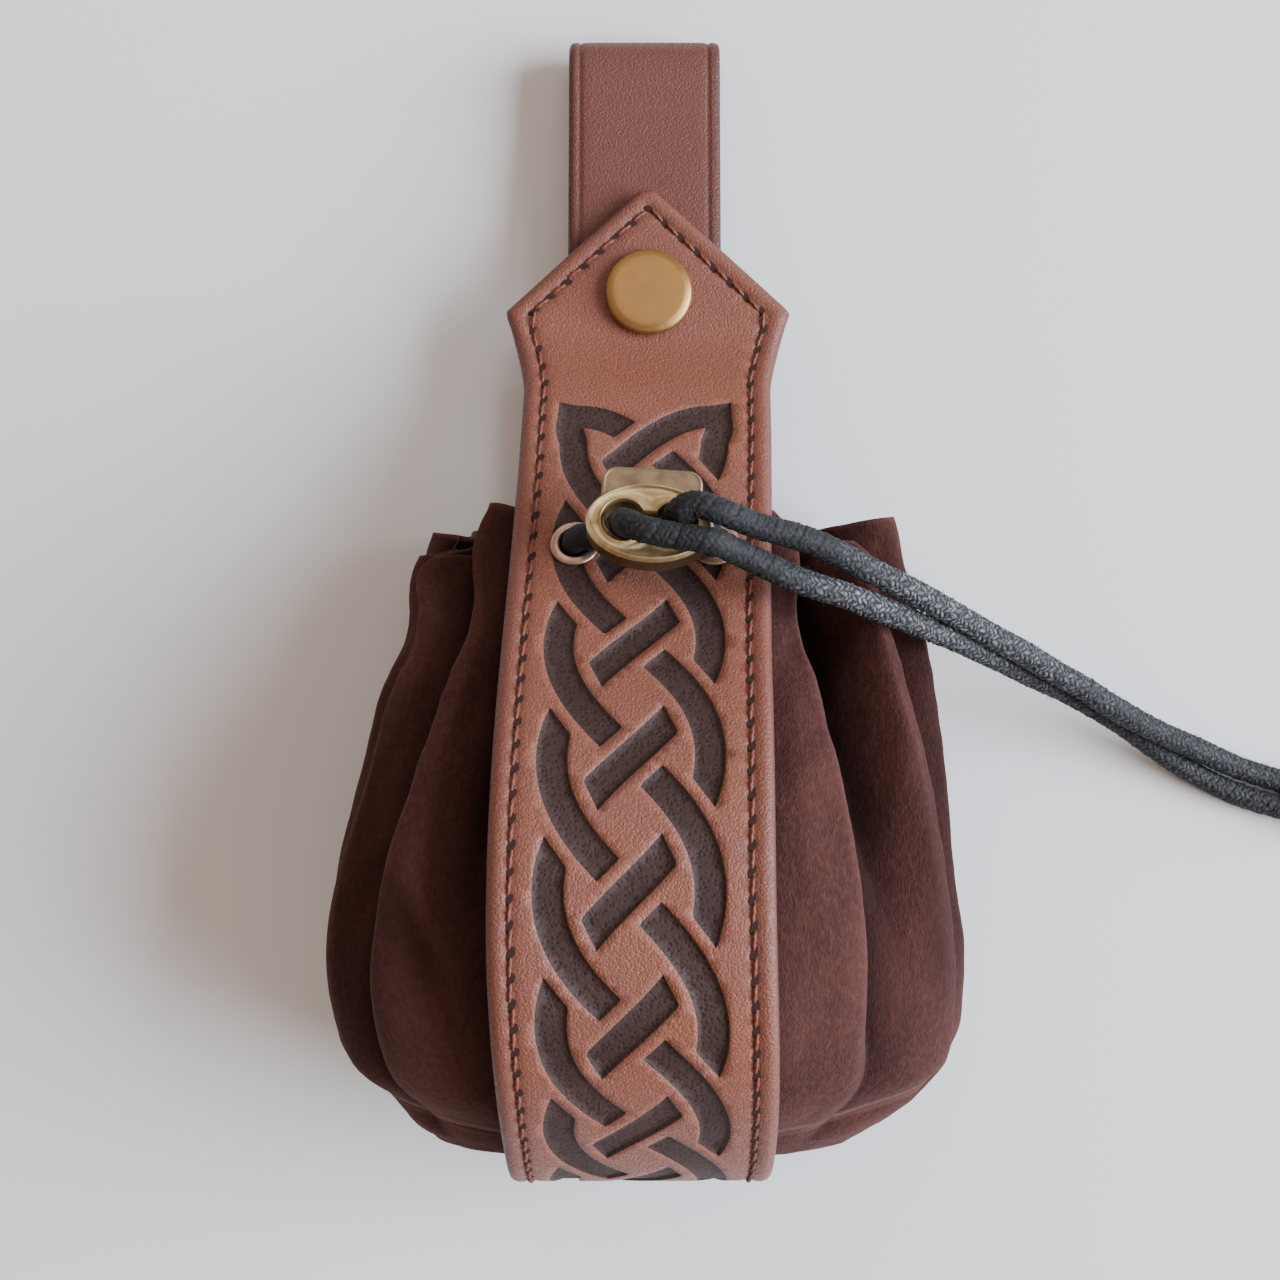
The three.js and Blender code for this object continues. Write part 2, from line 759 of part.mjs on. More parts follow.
function arc(halfWidth, halfHeight, from, to, count) {
  return spread(from, to, count + 1).map(
    (t) => new THREE.Vector2(halfWidth * Math.cos(t), halfHeight * Math.sin(t))
  );
}

function ellipse(halfWidth, halfHeight, count = 36) {
  return arc(halfWidth, halfHeight, 0, 2 * Math.PI, count).slice(0, -1);
}

function slab(outline, thickness, bevel = 0) {
  const shape = new THREE.Shape(outline);
  return new THREE.ExtrudeGeometry(shape, {
    depth: thickness - 2 * bevel,
    bevelEnabled: bevel > 0,
    bevelThickness: bevel,
    bevelSize: bevel,
    bevelOffset: -bevel,
    bevelSegments: 1,
    steps: 1,
  }).translate(0, 0, -thickness / 2 + bevel);
}

const slotHalfWidth = lockLength / 2 - lockWall - 0.1;
const slotHalfHeight = lockHeight / 2 - lockWall;
const slotThickness = lockThickness - 2 * lockPlate;
const plungerBottom = plungerTravel + gap - slotHalfHeight;

function lockBodyGeometry() {
  const body = slab(ellipse(lockLength / 2, lockHeight / 2), lockThickness, lockEdge);
  const lower = arc(slotHalfWidth, slotHalfHeight, Math.PI, 2 * Math.PI, 18);
  const slot = [
    new THREE.Vector2(slotHalfWidth, lockHeight),
    new THREE.Vector2(-slotHalfWidth, lockHeight),
    ...lower,
  ];
  const holes = [-1, 1].map((side) =>
    drill(lockHoleRadius, -lockThickness, lockThickness).translate((side * lockHoleSpacing) / 2, 0, 0)
  );
  const waist = new THREE.BoxGeometry(lockHoleSpacing, lockWaist, 2 * lockThickness);
  return cut(body, [slab(slot, slotThickness), ...holes, waist]);
}

function lockButtonGeometry() {
  const half = plungerWidth / 2;
  const top = lockHeight / 2 + plungerStandOut;
  const lower = arc(half, -plungerBottom, Math.PI, 2 * Math.PI, 14);
  const corner = (side) =>
    spread(0, Math.PI / 2, 4).map((t) => {
      const turn = side > 0 ? t : Math.PI / 2 + t;
      return new THREE.Vector2(
        side * (half - plungerCorner) + plungerCorner * Math.cos(turn),
        top - plungerCorner + plungerCorner * Math.sin(turn)
      );
    });
  const plate = slab([...corner(1), ...corner(-1), ...lower], slotThickness - 2 * gap);
  const windowHalf = half - plungerWall;
  const windowTop = lockHoleRadius + plungerTravel + gap;
  const window = [
    new THREE.Vector2(windowHalf, windowTop),
    new THREE.Vector2(-windowHalf, windowTop),
    ...arc(windowHalf, -plungerBottom - plungerWall, Math.PI, 2 * Math.PI, 14),
  ];
  return cut(plate, [slab(window, lockThickness)]);
}

place(addMesh('lock_body', lockBodyGeometry(), 'agedBrass'), lockSeat);
place(addMesh('lock_button', lockButtonGeometry(), 'agedBrass'), lockSeat);

// The drawstring. Its steps follow the chosen points, so that close points make a
// finer stretch.
class CordLine extends THREE.CatmullRomCurve3 {
  getUtoTmapping(share) {
    return share;
  }
}

function cordGeometry(points, steps) {
  const section = new THREE.Shape(ellipse(cordRadius, cordRadius, cordSides));
  const extrudePath = new CordLine(points, false, 'centripetal');
  return welded(new THREE.ExtrudeGeometry(section, { steps, extrudePath, bevelEnabled: false }));
}

function onLock(x, y, z) {
  return new THREE.Vector3(x, y, z).applyMatrix4(lockSeat);
}

function onEyelet(i, height) {
  return new THREE.Vector3(0, 0, height).applyMatrix4(eyeletSeats[i]);
}

// In one of the lock's holes, where its strand passes
function inHole(side, height) {
  return onLock((side * lockHoleSpacing) / 2, strandRaise + side * strandApart, height);
}

const lockFace = lockThickness / 2;
const flangeTop = eyeletGap + eyeletFlangeHeight;

// From an eyelet's back up through it and over to the lock's hole
function climb(i) {
  const side = i === 0 ? -1 : 1;
  const hole = (height) => inHole(side, height);
  const start = onEyelet(i, flangeTop);
  const up = onEyelet(i, flangeTop + 1).sub(start);
  const flat = hole(-lockFace).sub(start);
  flat.addScaledVector(up, -flat.dot(up));
  const bend = CLIMB.map((row) => start.clone().addScaledVector(flat, row.across).addScaledVector(up, row.up));
  return [onEyelet(i, -6), onEyelet(i, -2.5), ...bend, hole(-lockFace), hole(-gap / 2)];
}

const chosen = (route) => route.map(([x, y, z]) => new THREE.Vector3(x, y, z));

addMesh(
  'drawstring_loop',
  cordGeometry([...climb(0).reverse(), ...chosen(INSIDE_ROUTE), ...climb(1)], 46),
  'cord'
);

const overFace = lockFace + cordRadius + 2 * gap;
const upperStart = [
  inHole(1, gap / 2),
  inHole(1, lockFace - 0.4),
  onLock(lockHoleSpacing / 2 + 0.7, 1.4, overFace - 0.5),
  onLock(lockHoleSpacing / 2 + 2.6, 2.1, overFace + 0.4),
  onLock(lockHoleSpacing / 2 + 6.2, 1.5, overFace + 0.2),
];
const lowerStart = [
  inHole(-1, gap / 2),
  inHole(-1, lockFace - 0.4),
  onLock(-lockHoleSpacing / 2 + 0.8, -1.2, overFace - 0.5),
  onLock(-lockHoleSpacing / 2 + 3.4, -2.3, overFace + 0.4),
  onLock(lockHoleSpacing / 2, -3.0, overFace + 0.3),
  onLock(lockHoleSpacing / 2 + 5.6, -3.4, overFace + 0.1),
];

addMesh('strand_upper', cordGeometry([...upperStart, ...chosen(UPPER_ROUTE)], 17), 'cord');
addMesh('strand_lower', cordGeometry([...lowerStart, ...chosen(LOWER_ROUTE)], 17), 'cord');

// The knot past the strands' ends, with its short tail, along +X and turned with them
function knotGeometry() {
  const ball = spread(0, 180, 9).map((angle) => {
    const turn = THREE.MathUtils.degToRad(angle);
    return [knotRadius * Math.sin(turn), (-knotLength / 2) * Math.cos(turn)];
  });
  const tail = [
    [cordRadius, knotLength / 2 - 1],
    [cordRadius, knotLength / 2 + knotTail],
    [0, knotLength / 2 + knotTail],
  ];
  return turned([...ball.slice(0, -2), ...tail], 14).rotateY(Math.PI / 2);
}

const knot = addMesh('cord_knot', knotGeometry(), 'cord');
const strandEnds = [UPPER_ROUTE, LOWER_ROUTE].map((route) => new THREE.Vector3(...route.at(-1)));
const knotTurn = THREE.MathUtils.degToRad(knotLean);
knot.position.copy(strandEnds[0].add(strandEnds[1]).multiplyScalar(0.5));
knot.position.x += knotLength / 2 + gap;
knot.position.y += (knotLength / 2) * Math.sin(knotTurn);
knot.position.z = knotRadius;
knot.rotation.z = knotTurn;

export default pouch;
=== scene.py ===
# %% [markdown]
# # A medieval belt pouch
#
# This lesson dresses a plain CAD part as the real thing: a gathered suede bag under a
# leather strap with a plaited pattern, brass fittings and a braided cord. The CAD part
# stays as it is. Each new piece stands for one CAD node, follows the same formula or
# the same line, and adds what a CAD part leaves out: grain, stitches, rolled edges.
#
# All lengths below are in millimetres, as in the CAD part, and become metres only
# when a mesh is made.

import math

import bpy
import numpy as np
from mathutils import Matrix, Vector, noise
from mathutils.geometry import delaunay_2d_cdt


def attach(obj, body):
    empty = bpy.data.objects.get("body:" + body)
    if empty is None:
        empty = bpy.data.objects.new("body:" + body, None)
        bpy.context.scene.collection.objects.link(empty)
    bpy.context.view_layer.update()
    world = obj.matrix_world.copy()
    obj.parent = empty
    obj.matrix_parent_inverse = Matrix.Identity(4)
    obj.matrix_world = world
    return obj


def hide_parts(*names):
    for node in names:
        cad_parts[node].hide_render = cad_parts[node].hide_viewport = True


MM = 0.001

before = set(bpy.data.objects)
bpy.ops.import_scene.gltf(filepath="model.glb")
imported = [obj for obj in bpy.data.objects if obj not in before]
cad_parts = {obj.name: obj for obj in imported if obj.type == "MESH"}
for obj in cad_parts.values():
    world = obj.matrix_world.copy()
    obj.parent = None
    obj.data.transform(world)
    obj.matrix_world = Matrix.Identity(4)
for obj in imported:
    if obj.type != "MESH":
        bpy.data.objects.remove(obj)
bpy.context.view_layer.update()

# %% [markdown]
# ## The camera
#
# The picture to match was taken from straight above. The strap has one width all the
# way, and it looks wider where the bag lifts it towards the lens, which gives the
# camera's height.

# %% Camera
CAMERA_PLACE = (-0.65, -9.55, 300.0)
CAMERA_LENS = 45.68

camera_data = bpy.data.cameras.new("camera")
camera_data.lens = CAMERA_LENS
camera_data.sensor_width = 36
camera_data.clip_start = 0.01
camera = bpy.data.objects.new("camera", camera_data)
camera.location = Vector(CAMERA_PLACE) * MM
bpy.context.scene.collection.objects.link(camera)
bpy.context.scene.camera = camera

# %% [markdown]
# ## Small tools
#
# `Line` is a smooth curve through a few points that can be asked for any distance
# along it. `new_object` turns lists of points and faces into a mesh with materials.


# %% Curves and meshes
CURVE_STEPS = 24
# Nothing goes lower than this over the table
ABOVE_FLOOR = 0.02


def mix(a, b, t):
    return a + (b - a) * t


def ease(start, end, x):
    t = np.clip((np.asarray(x, float) - start) / (end - start), 0, 1)
    return t * t * (3 - 2 * t)


def unit(vectors):
    return vectors / np.maximum(np.linalg.norm(vectors, axis=-1, keepdims=True), 1e-9)


def travelled(path, power=1.0):
    """The distance from a path's start to each of its points."""
    return np.concatenate([[0], np.cumsum(np.linalg.norm(np.diff(path, axis=0), axis=1) ** power)])


class Line:
    """A centripetal Catmull-Rom curve through points, measured along its length."""

    def __init__(self, points):
        p = np.asarray(points, float)
        p = np.vstack([2 * p[0] - p[1], p, 2 * p[-1] - p[-2]])
        spans = [self.span(p[i : i + 4]) for i in range(len(p) - 3)]
        self.samples = np.vstack(spans + [p[-2:-1]])
        self.far = travelled(self.samples)
        self.length = self.far[-1]

    @staticmethod
    def span(q):
        """Points from the second to the third of four, by mixing neighbours three times."""
        k = travelled(q, 0.5)
        t = mix(k[1], k[2], np.arange(CURVE_STEPS) / CURVE_STEPS)[:, None]

        def between(first, second, start, end):
            return first * (end - t) / (end - start) + second * (t - start) / (end - start)

        a = [between(q[i], q[i + 1], k[i], k[i + 1]) for i in range(3)]
        b = [between(a[i], a[i + 1], k[i], k[i + 2]) for i in range(2)]
        return between(*b, k[1], k[2])

    def at(self, distance):
        d = np.clip(distance, 0, self.length)
        return np.stack([np.interp(d, self.far, self.samples[:, i]) for i in range(3)], -1)

    def way(self, distance, reach=0.6):
        return unit(self.at(np.asarray(distance) + reach) - self.at(np.asarray(distance) - reach))


def spaced(points, step, closed=False):
    """The same path as evenly spaced points."""
    p = np.asarray(points, float)
    if closed:
        p = np.vstack([p, p[:1]])
    far = travelled(p)
    count = max(2, round(far[-1] / step))
    at = np.linspace(0, far[-1], count + 1)[: count + (not closed)]
    return np.stack([np.interp(at, far, p[:, k]) for k in range(p.shape[1])], -1)


def nearest_distance(points, path):
    """How far each flat point is from a path of close points, and which is nearest."""
    found = []
    for part in np.array_split(points, range(400, len(points), 400)):
        gaps = np.hypot(part[:, None, 0] - path[None, :, 0], part[:, None, 1] - path[None, :, 1])
        found.append((gaps.min(1), gaps.argmin(1)))
    return tuple(np.concatenate(column) for column in zip(*found))


def smooth_object(name, mesh):
    mesh.polygons.foreach_set("use_smooth", np.full(len(mesh.polygons), True))
    thing = bpy.data.objects.new(name, mesh)
    bpy.context.scene.collection.objects.link(thing)
    return thing


def new_object(name, points, faces, materials, face_material=None):
    mesh = bpy.data.meshes.new(name)
    mesh.from_pydata((np.asarray(points, float) * MM).tolist(), [], faces)
    for material in materials:
        mesh.materials.append(material)
    if face_material is not None:
        mesh.polygons.foreach_set("material_index", np.asarray(face_material, np.int32))
    mesh.update()
    return smooth_object(name, mesh)


def add_layer(thing, name, values):
    """A number per point that a material can read by name."""
    layer = thing.data.attributes.new(name, "FLOAT", "POINT")
    layer.data.foreach_set("value", np.asarray(values, np.float32))


def grid_faces(rows, columns, closed=False, first=0):
    """Faces of a grid of points, row by row; closed joins the last column to the first."""
    r, c = np.meshgrid(np.arange(rows - 1), np.arange(columns - (not closed)), indexing="ij")
    after = (c + 1) % columns
    corners = [r * columns + c, r * columns + after, (r + 1) * columns + after, (r + 1) * columns + c]
    return (np.stack(corners, -1).reshape(-1, 4) + first).tolist()


def capped_faces(rows, sides):
    """Faces of rings of points, with one face over each end."""
    ends = [list(range(sides))[::-1], list(range((rows - 1) * sides, rows * sides))]
    return grid_faces(rows, sides, closed=True) + ends


def ring_faces(rows, sides):
    """Faces of rings of points, with the last ring joined to the first."""
    last = (rows - 1) * sides
    after = (np.arange(sides) + 1) % sides
    closing = [[last + i, last + after[i], after[i], i] for i in range(sides)]
    return grid_faces(rows, sides, closed=True) + closing


def flipped(faces):
    return [face[::-1] for face in faces]


def turns_of(count):
    """Angles once round a circle."""
    return np.arange(count) / count * 2 * np.pi


def directions(path):
    """Where a path heads at each of its points."""
    return unit(np.vstack([path[1] - path[0], path[2:] - path[:-2], path[-1] - path[-2]]))


def tube(path, radius_at, sides):
    """Points and faces of a closed tube: radius_at(distance, angle) gives its surface."""
    ways = directions(path)
    across = [unit(np.cross(ways[0], (0.3, 0.1, 1.0)))]
    for way in ways[1:]:
        across.append(unit(across[-1] - way * np.dot(across[-1], way)))
    across = np.array(across)[:, None, :]
    up = np.cross(ways[:, None, :], across)
    angles = turns_of(sides)[None, :, None]
    radius = radius_at(travelled(path)[:, None], angles[..., 0])[..., None]
    points = path[:, None, :] + (across * np.cos(angles) + up * np.sin(angles)) * radius
    return points.reshape(-1, 3), capped_faces(len(path), sides)


def stand_for(thing, nodes, body="pouch"):
    """Shows a finished piece in place of CAD nodes."""
    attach(thing, body)
    if nodes:
        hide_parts(*nodes)
    triangles = sum(len(p.vertices) - 2 for p in thing.data.polygons)
    print(f"{thing.name}: {triangles} triangles")
    return thing


def wobble(points, size, seed):
    """Smooth noise between about -1 and 1 at each point; size is its grain in mm."""
    shift = Vector((seed * 7.3, seed * 3.1, seed * 5.7))
    return np.array([noise.noise(Vector(p) / size + shift) for p in np.asarray(points).reshape(-1, 3)])


# %% [markdown]
# ## Materials
#
# A material is a little network of nodes. `Shader` builds one from plain arithmetic:
# a `Value` wraps a socket, so `noise * 0.3 + 0.5` adds the two maths nodes by itself.


# %% Shader maths
class Value:
    def __init__(self, shader, socket):
        self.shader = shader
        self.socket = socket

    def __add__(self, other):
        return self.shader.node("ShaderNodeMath", {"operation": "ADD"}, [self, other])

    def __mul__(self, other):
        return self.shader.node("ShaderNodeMath", {"operation": "MULTIPLY"}, [self, other])

    def ramp(self, start, end):
        """0 below start, 1 above end, smooth between."""
        settings = {"interpolation_type": "SMOOTHSTEP"}
        return self.shader.node("ShaderNodeMapRange", settings, {0: self, 1: start, 2: end})


class Shader:
    def __init__(self, name, color, roughness, metallic=0.0):
        self.material = bpy.data.materials.new(name)
        self.material.use_nodes = True
        self.nodes = self.material.node_tree.nodes
        self.links = self.material.node_tree.links
        self.surface = self.nodes["Principled BSDF"]
        self.set("Base Color", (*color, 1))
        self.set("Roughness", roughness)
        self.set("Metallic", metallic)
        self.place = self.node("ShaderNodeTexCoord", output="Object")

    def node(self, kind, settings=None, inputs=None, output=0):
        made = self.nodes.new(kind)
        for key, value in (settings or {}).items():
            setattr(made, key, value)
        pairs = inputs.items() if isinstance(inputs, dict) else enumerate(inputs or [])
        for key, value in pairs:
            if isinstance(value, Value):
                self.links.new(value.socket, made.inputs[key])
            else:
                made.inputs[key].default_value = value
        return Value(self, made.outputs[output])

    def set(self, socket, value):
        if isinstance(value, Value):
            self.links.new(value.socket, self.surface.inputs[socket])
        else:
            self.surface.inputs[socket].default_value = value

    def noise(self, size, detail=2.0, stretch=(1, 1, 1), rough=0.5):
        """Cloudy noise from 0 to 1 whose spots are about size mm wide."""
        scaled = self.node("ShaderNodeMapping", {"vector_type": "POINT"}, {0: self.place, 3: stretch})
        return self.node("ShaderNodeTexNoise", None, {0: scaled, 2: 1 / (size * MM), 3: detail, 4: rough})

    def cells(self, size):
        """0 at the middle of each pebble and more towards its edge."""
        return self.node("ShaderNodeTexVoronoi", None, {0: self.place, 2: 1 / (size * MM)}, "Distance")

    def layer(self, name):
        return self.node("ShaderNodeAttribute", {"attribute_name": name}, output="Fac")

    def blend(self, factor, first, second):
        """Two colours, mixed by a factor from 0 to 1."""
        inputs = {0: factor}
        for key, color in ((6, first), (7, second)):
            inputs[key] = color if isinstance(color, Value) else (*color, 1)
        return self.node("ShaderNodeMix", {"data_type": "RGBA"}, inputs, 2)

    def bump(self, height, distance, strength=1.0):
        inputs = {"Height": height, "Distance": distance * MM, "Strength": strength}
        self.set("Normal", self.node("ShaderNodeBump", None, inputs))

    def sheen(self, weight, roughness, tint):
        self.set("Sheen Weight", weight)
        self.set("Sheen Roughness", roughness)
        self.set("Sheen Tint", (*tint, 1))


# %% [markdown]
# The colours are written as they look on screen; `srgb` turns them into the linear
# numbers that a renderer mixes.


# %% Leather, suede, brass and cord
def srgb(red, green, blue):
    shares = [value / 255 for value in (red, green, blue)]
    return tuple(v / 12.92 if v <= 0.04045 else ((v + 0.055) / 1.055) ** 2.4 for v in shares)


def scaled(color, factor):
    return tuple(channel * factor for channel in color)


def leather(name, color, warm, dark):
    """Smooth dyed leather: fine pebbled grain, soft clouds of a warmer colour, and a darker
    colour wherever the point layer `edge` says so: painted edges, and on the strap also
    towards the flap's tip."""
    made = Shader(name, color, 0.5)
    clouds = made.noise(22, 3).ramp(0.32, 0.68)
    blotches = made.noise(4.5, 4).ramp(0.35, 0.75)
    pebbles = made.cells(0.5).ramp(0.0, 0.55)
    fine = made.noise(0.4, 3).ramp(0.3, 0.7)
    tone = made.blend(clouds * 0.55 + blotches * 0.3, color, warm)
    grain = made.blend(pebbles * 0.5 + fine * 0.5, scaled(warm, 1.2), scaled(color, 0.4))
    grain = made.blend(0.5, tone, grain)
    made.set("Base Color", made.blend(made.layer("edge"), grain, dark))
    made.set("Roughness", fine * 0.3 + 0.35)
    made.set("Specular IOR Level", 0.38)
    made.bump(pebbles * 0.6 + fine * 0.5, 0.14, 0.85)
    return made.material


def suede_leather():
    """Suede with its nap brushed down the bag, with painted shade wherever the point layer
    `crease` says so and a soft sheen where it turns away."""
    made = Shader("suede", srgb(70, 46, 44), 0.92)
    nap = made.noise(0.32, 3, (1, 0.4, 1))
    brushed = made.noise(5, 3, (1, 0.3, 1)).ramp(0.25, 0.8)
    soft = made.noise(26, 2).ramp(0.3, 0.75)
    mottle = made.noise(0.9, 5, (1, 0.7, 1), 0.65).ramp(0.35, 0.75)
    tone = made.blend(brushed * 0.25 + soft * 0.35 + nap * 0.4, srgb(52, 32, 34), srgb(86, 53, 50))
    tone = made.blend(mottle * 0.35, tone, srgb(110, 70, 56))
    # Painted shade: the layer crease darkens the creases, the far sides and the inside almost to black
    tone = made.blend(made.layer("crease"), tone, srgb(18, 11, 13))
    made.set("Base Color", made.blend(made.layer("edge"), tone, srgb(104, 74, 66)))
    made.sheen(0.2, 0.35, srgb(200, 152, 150))
    made.set("Specular IOR Level", 0.1)
    made.bump(nap + brushed * 0.25 + mottle * 0.5, 0.24, 0.7)
    return made.material


def brass(name, color, shade, roughness, scratches=True, tarnished=0.75):
    """Aged brass: darker clouds of tarnish, fine scratches that roughen it, and painted
    shade wherever the point layer `edge` says so."""
    made = Shader(name, color, roughness, 1.0)
    tarnish = made.noise(3.0, 4).ramp(0.35, 0.75)
    tone = made.blend(tarnish * tarnished, color, shade)
    # Painted shade: where the layer edge is high, the brass turns almost black
    made.set("Base Color", made.blend(made.layer("edge"), tone, scaled(shade, 0.22)))
    fine = made.noise(0.22, 3, (0.12, 1, 1)) if scratches else made.noise(0.4, 4)
    made.set("Roughness", fine * 0.3 + (roughness - 0.12) + tarnish * 0.1)
    made.bump(fine + tarnish * 0.4, 0.035, 0.4)
    return made.material


def waxed_cord():
    """Black cotton with wax on it: black between the threads, and a little glossy on their
    crowns, where the layer `edge` is high, with a painted grey highlight there that is
    strongest in the middle of the free strands."""
    made = Shader("black_cord", srgb(24, 26, 28), 0.6)
    fibres = made.noise(0.25, 3)
    patches = made.noise(1.6, 3).ramp(0.3, 0.7)
    wear_and_glint = made.layer("wear_and_glint")
    crowns = made.layer("edge").ramp(0.45, 1.0) * fibres.ramp(0.3, 0.65) * (patches * 0.8 + 0.2)
    # Painted highlight: the crowns turn grey, most in the middle of the free strands, where the cord is
    # rubbed and catches the light
    made.set("Base Color", made.blend(crowns * (wear_and_glint * 0.93 + 0.07), srgb(17, 17, 21), srgb(160, 160, 168)))
    made.set("Roughness", crowns * wear_and_glint * -0.3 + 0.72)
    made.set("Specular IOR Level", 0.4)
    made.sheen(0.06, 0.5, srgb(150, 168, 170))
    made.bump(fibres, 0.14, 0.6)
    return made.material


def pressed_leather():
    """The plait's dark bands: pebbled like the leather round them, and speckled."""
    made = Shader("plait", srgb(66, 48, 46), 0.5)
    band, light = srgb(58, 41, 39), srgb(86, 63, 60)
    pebbles = made.cells(0.7).ramp(0.0, 0.6)
    speckle = made.noise(0.5, 4)
    clouds = made.noise(12, 2).ramp(0.3, 0.7)
    tone = made.blend(clouds * 0.5 + speckle * 0.4, band, light)
    made.set("Base Color", made.blend(pebbles * speckle, scaled(band, 0.6), tone))
    made.set("Roughness", speckle * 0.3 + 0.5)
    made.set("Specular IOR Level", 0.25)
    made.bump(pebbles + speckle * 0.6, 0.12, 0.7)
    return made.material


def plain(name, color, roughness):
    return Shader(name, color, roughness).material


strap_leather = leather("strap_leather", srgb(138, 88, 77), srgb(150, 88, 66), srgb(96, 52, 45))
loop_leather = leather("loop_leather", srgb(116, 71, 62), srgb(112, 64, 54), srgb(70, 36, 32))
plait_leather = pressed_leather()
suede = suede_leather()
snap_brass = brass("snap_brass", srgb(174, 135, 86), srgb(152, 115, 70), 0.38, tarnished=0.25)
eyelet_brass = brass("eyelet_brass", srgb(206, 172, 160), srgb(146, 118, 108), 0.3, False)
lock_brass = brass("lock_brass", srgb(226, 204, 160), srgb(160, 132, 94), 0.46, False)
plunger_brass = brass("plunger_brass", srgb(156, 136, 112), srgb(112, 94, 76), 0.46)
black_cord = waxed_cord()
thread = plain("thread", srgb(112, 58, 45), 0.6)
# Painted shade for the inside of the stitch holes
hole_shade = plain("hole_shade", srgb(46, 17, 14), 0.9)

# %% [markdown]
# ## The bag
#
# The bag is a tube of gathers. Its cross-section is a rounded oval whose width and
# height come from a table of sections, and every gather is a bulge between two
# creases. The strap's line follows from the same tables, so that it lies on the bag.

# %% The bag's shape
BAG_LENGTH, BAG_HALF_WIDTH, BAG_DEPTH = 107, 52.5, 64
SUEDE_THICKNESS = 1.6
FOLD_DEPTH, RIM_STEP, SEAM_DIP, SEAM_WIDTH = 8, 8, 1, 3
BAG_ROUNDNESS, REST_ROUND = 2.4, 2
RIM_ROUND, ROUNDED_LEAN = 4.5, 3.5
STRAP_WIDTH, STRAP_THICKNESS, WRAP_GAP = 41.5, 3, 0.45
STRAP_SWAY, STRAP_BACK_REACH = 1.75, 23.5
LOOP_REACH = 86.35
STAND_OFF = WRAP_GAP + STRAP_THICKNESS
BASE_Y = -(STAND_OFF + BAG_LENGTH + LOOP_REACH) / 2 + STAND_OFF
MOUTH_Y = BASE_Y + BAG_LENGTH

# along the bag, then left and right as shares of its half width, top and bottom as
# shares of its depth
SECTIONS = np.array(
    [
        (0.00, 0.735, 0.83, 0.5, -0.02),
        (0.08, 0.767, 0.855, 0.565, -0.03),
        (0.20, 0.785, 0.925, 0.69, -0.07),
        (0.30, 0.845, 0.945, 0.812, -0.09),
        (0.42, 0.905, 0.96, 0.92, -0.1),
        (0.55, 0.968, 0.974, 0.984, -0.1),
        (0.66, 1.0, 1.0, 1.0, -0.1),
        (0.75, 0.99, 1.0, 0.965, -0.08),
        (0.84, 0.925, 0.975, 0.88, 0.01),
        (0.91, 0.785, 0.83, 0.77, 0.13),
        (0.96, 0.68, 0.69, 0.665, 0.22),
        (0.985, 0.54, 0.53, 0.585, 0.32),
        (1.00, 0.0, 0.0, 0.47, 0.47),
    ]
)
LEFT, RIGHT, TOP, BOTTOM = 1, 2, 3, 4

# crease angles at the mouth and at the belly, depth, where it fades out, how far the
# gather after it ends short of the mouth, where that gather's crest lies between its
# creases, how far the crest leans over the next crease, and how hollow its other side is
CREASES = np.array(
    [
        (8, 2, 0.9, 0.8, 0.05, 0.26, -3.4, 1.0),
        (38, 19, 1.7, 0.9, 0.6, 0.2, -4.4, 1.0),
        (63, 50, 2.0, 0.95, 0.0, 0.26, -5.5, 0),
        (84, 80, 0.9, 0.7, 0.35, 0.5, 0, 0),
        (108, 110, 1.7, 0.95, -0.15, 0.7, 4.2, 1.0),
        (130, 147, 1.6, 0.95, 0.92, 0.7, 4.0, 0.6),
        (157, 168, 1.1, 0.8, 0.9, 0.6, 1.5, 0),
        (182, 186, 0.8, 0.75, 0.3, 0.5, 0, 0),
        (210, 208, 0.6, 0.7, 0.2, 0.5, 0, 0),
        (236, 236, 0.5, 0.6, 0.5, 0.5, 0, 0),
        (262, 262, 0.5, 0.6, 0.4, 0.5, 0, 0),
        (290, 290, 0.5, 0.6, 0.5, 0.5, 0, 0),
        (318, 320, 0.6, 0.65, 0.3, 0.5, 0, 0),
        (345, 344, 0.8, 0.75, 0.4, 0.5, 0, 0),
    ]
)
MOUTH, BELLY, DEPTH, FADES, DROP, CREST, LEAN, HOLLOW = range(8)


def column(index, place):
    """A column of SECTIONS at any place along the bag, on a smooth curve."""
    keys, values = SECTIONS[:, 0], SECTIONS[:, index]
    last = len(keys) - 1
    i = np.clip(np.searchsorted(keys, place, side="right") - 1, 0, last - 1)
    before, after = np.maximum(i - 1, 0), np.minimum(i + 2, last)
    span = keys[i + 1] - keys[i]
    slope_a = (values[i + 1] - values[before]) / (keys[i + 1] - keys[before]) * span
    slope_b = (values[after] - values[i]) / (keys[after] - keys[i]) * span
    t = (place - keys[i]) / span
    t2, t3 = t**2, t**3
    start = (2 * t3 - 3 * t2 + 1) * values[i] + (t3 - 2 * t2 + t) * slope_a
    return start + (3 * t2 - 2 * t3) * values[i + 1] + (t3 - t2) * slope_b


def soft_max(a, b, roundness):
    near = np.maximum(0, 1 - np.abs(a - b) / roundness)
    return np.maximum(a, b) + roundness / 4 * near**2


def rest_height(x):
    edge = STRAP_WIDTH / 2 + STRAP_SWAY
    return STAND_OFF * (1 - ease(edge, edge + 5, np.abs(x)))


def crease_angle(crease, along):
    return mix(crease[..., MOUTH], crease[..., BELLY], ease(0, 0.62, along))


def seam_along(angle):
    side = np.where(np.cos(angle) > 0, 0.81, 0.87)
    return mix(side, 0.94, np.abs(np.sin(angle)))


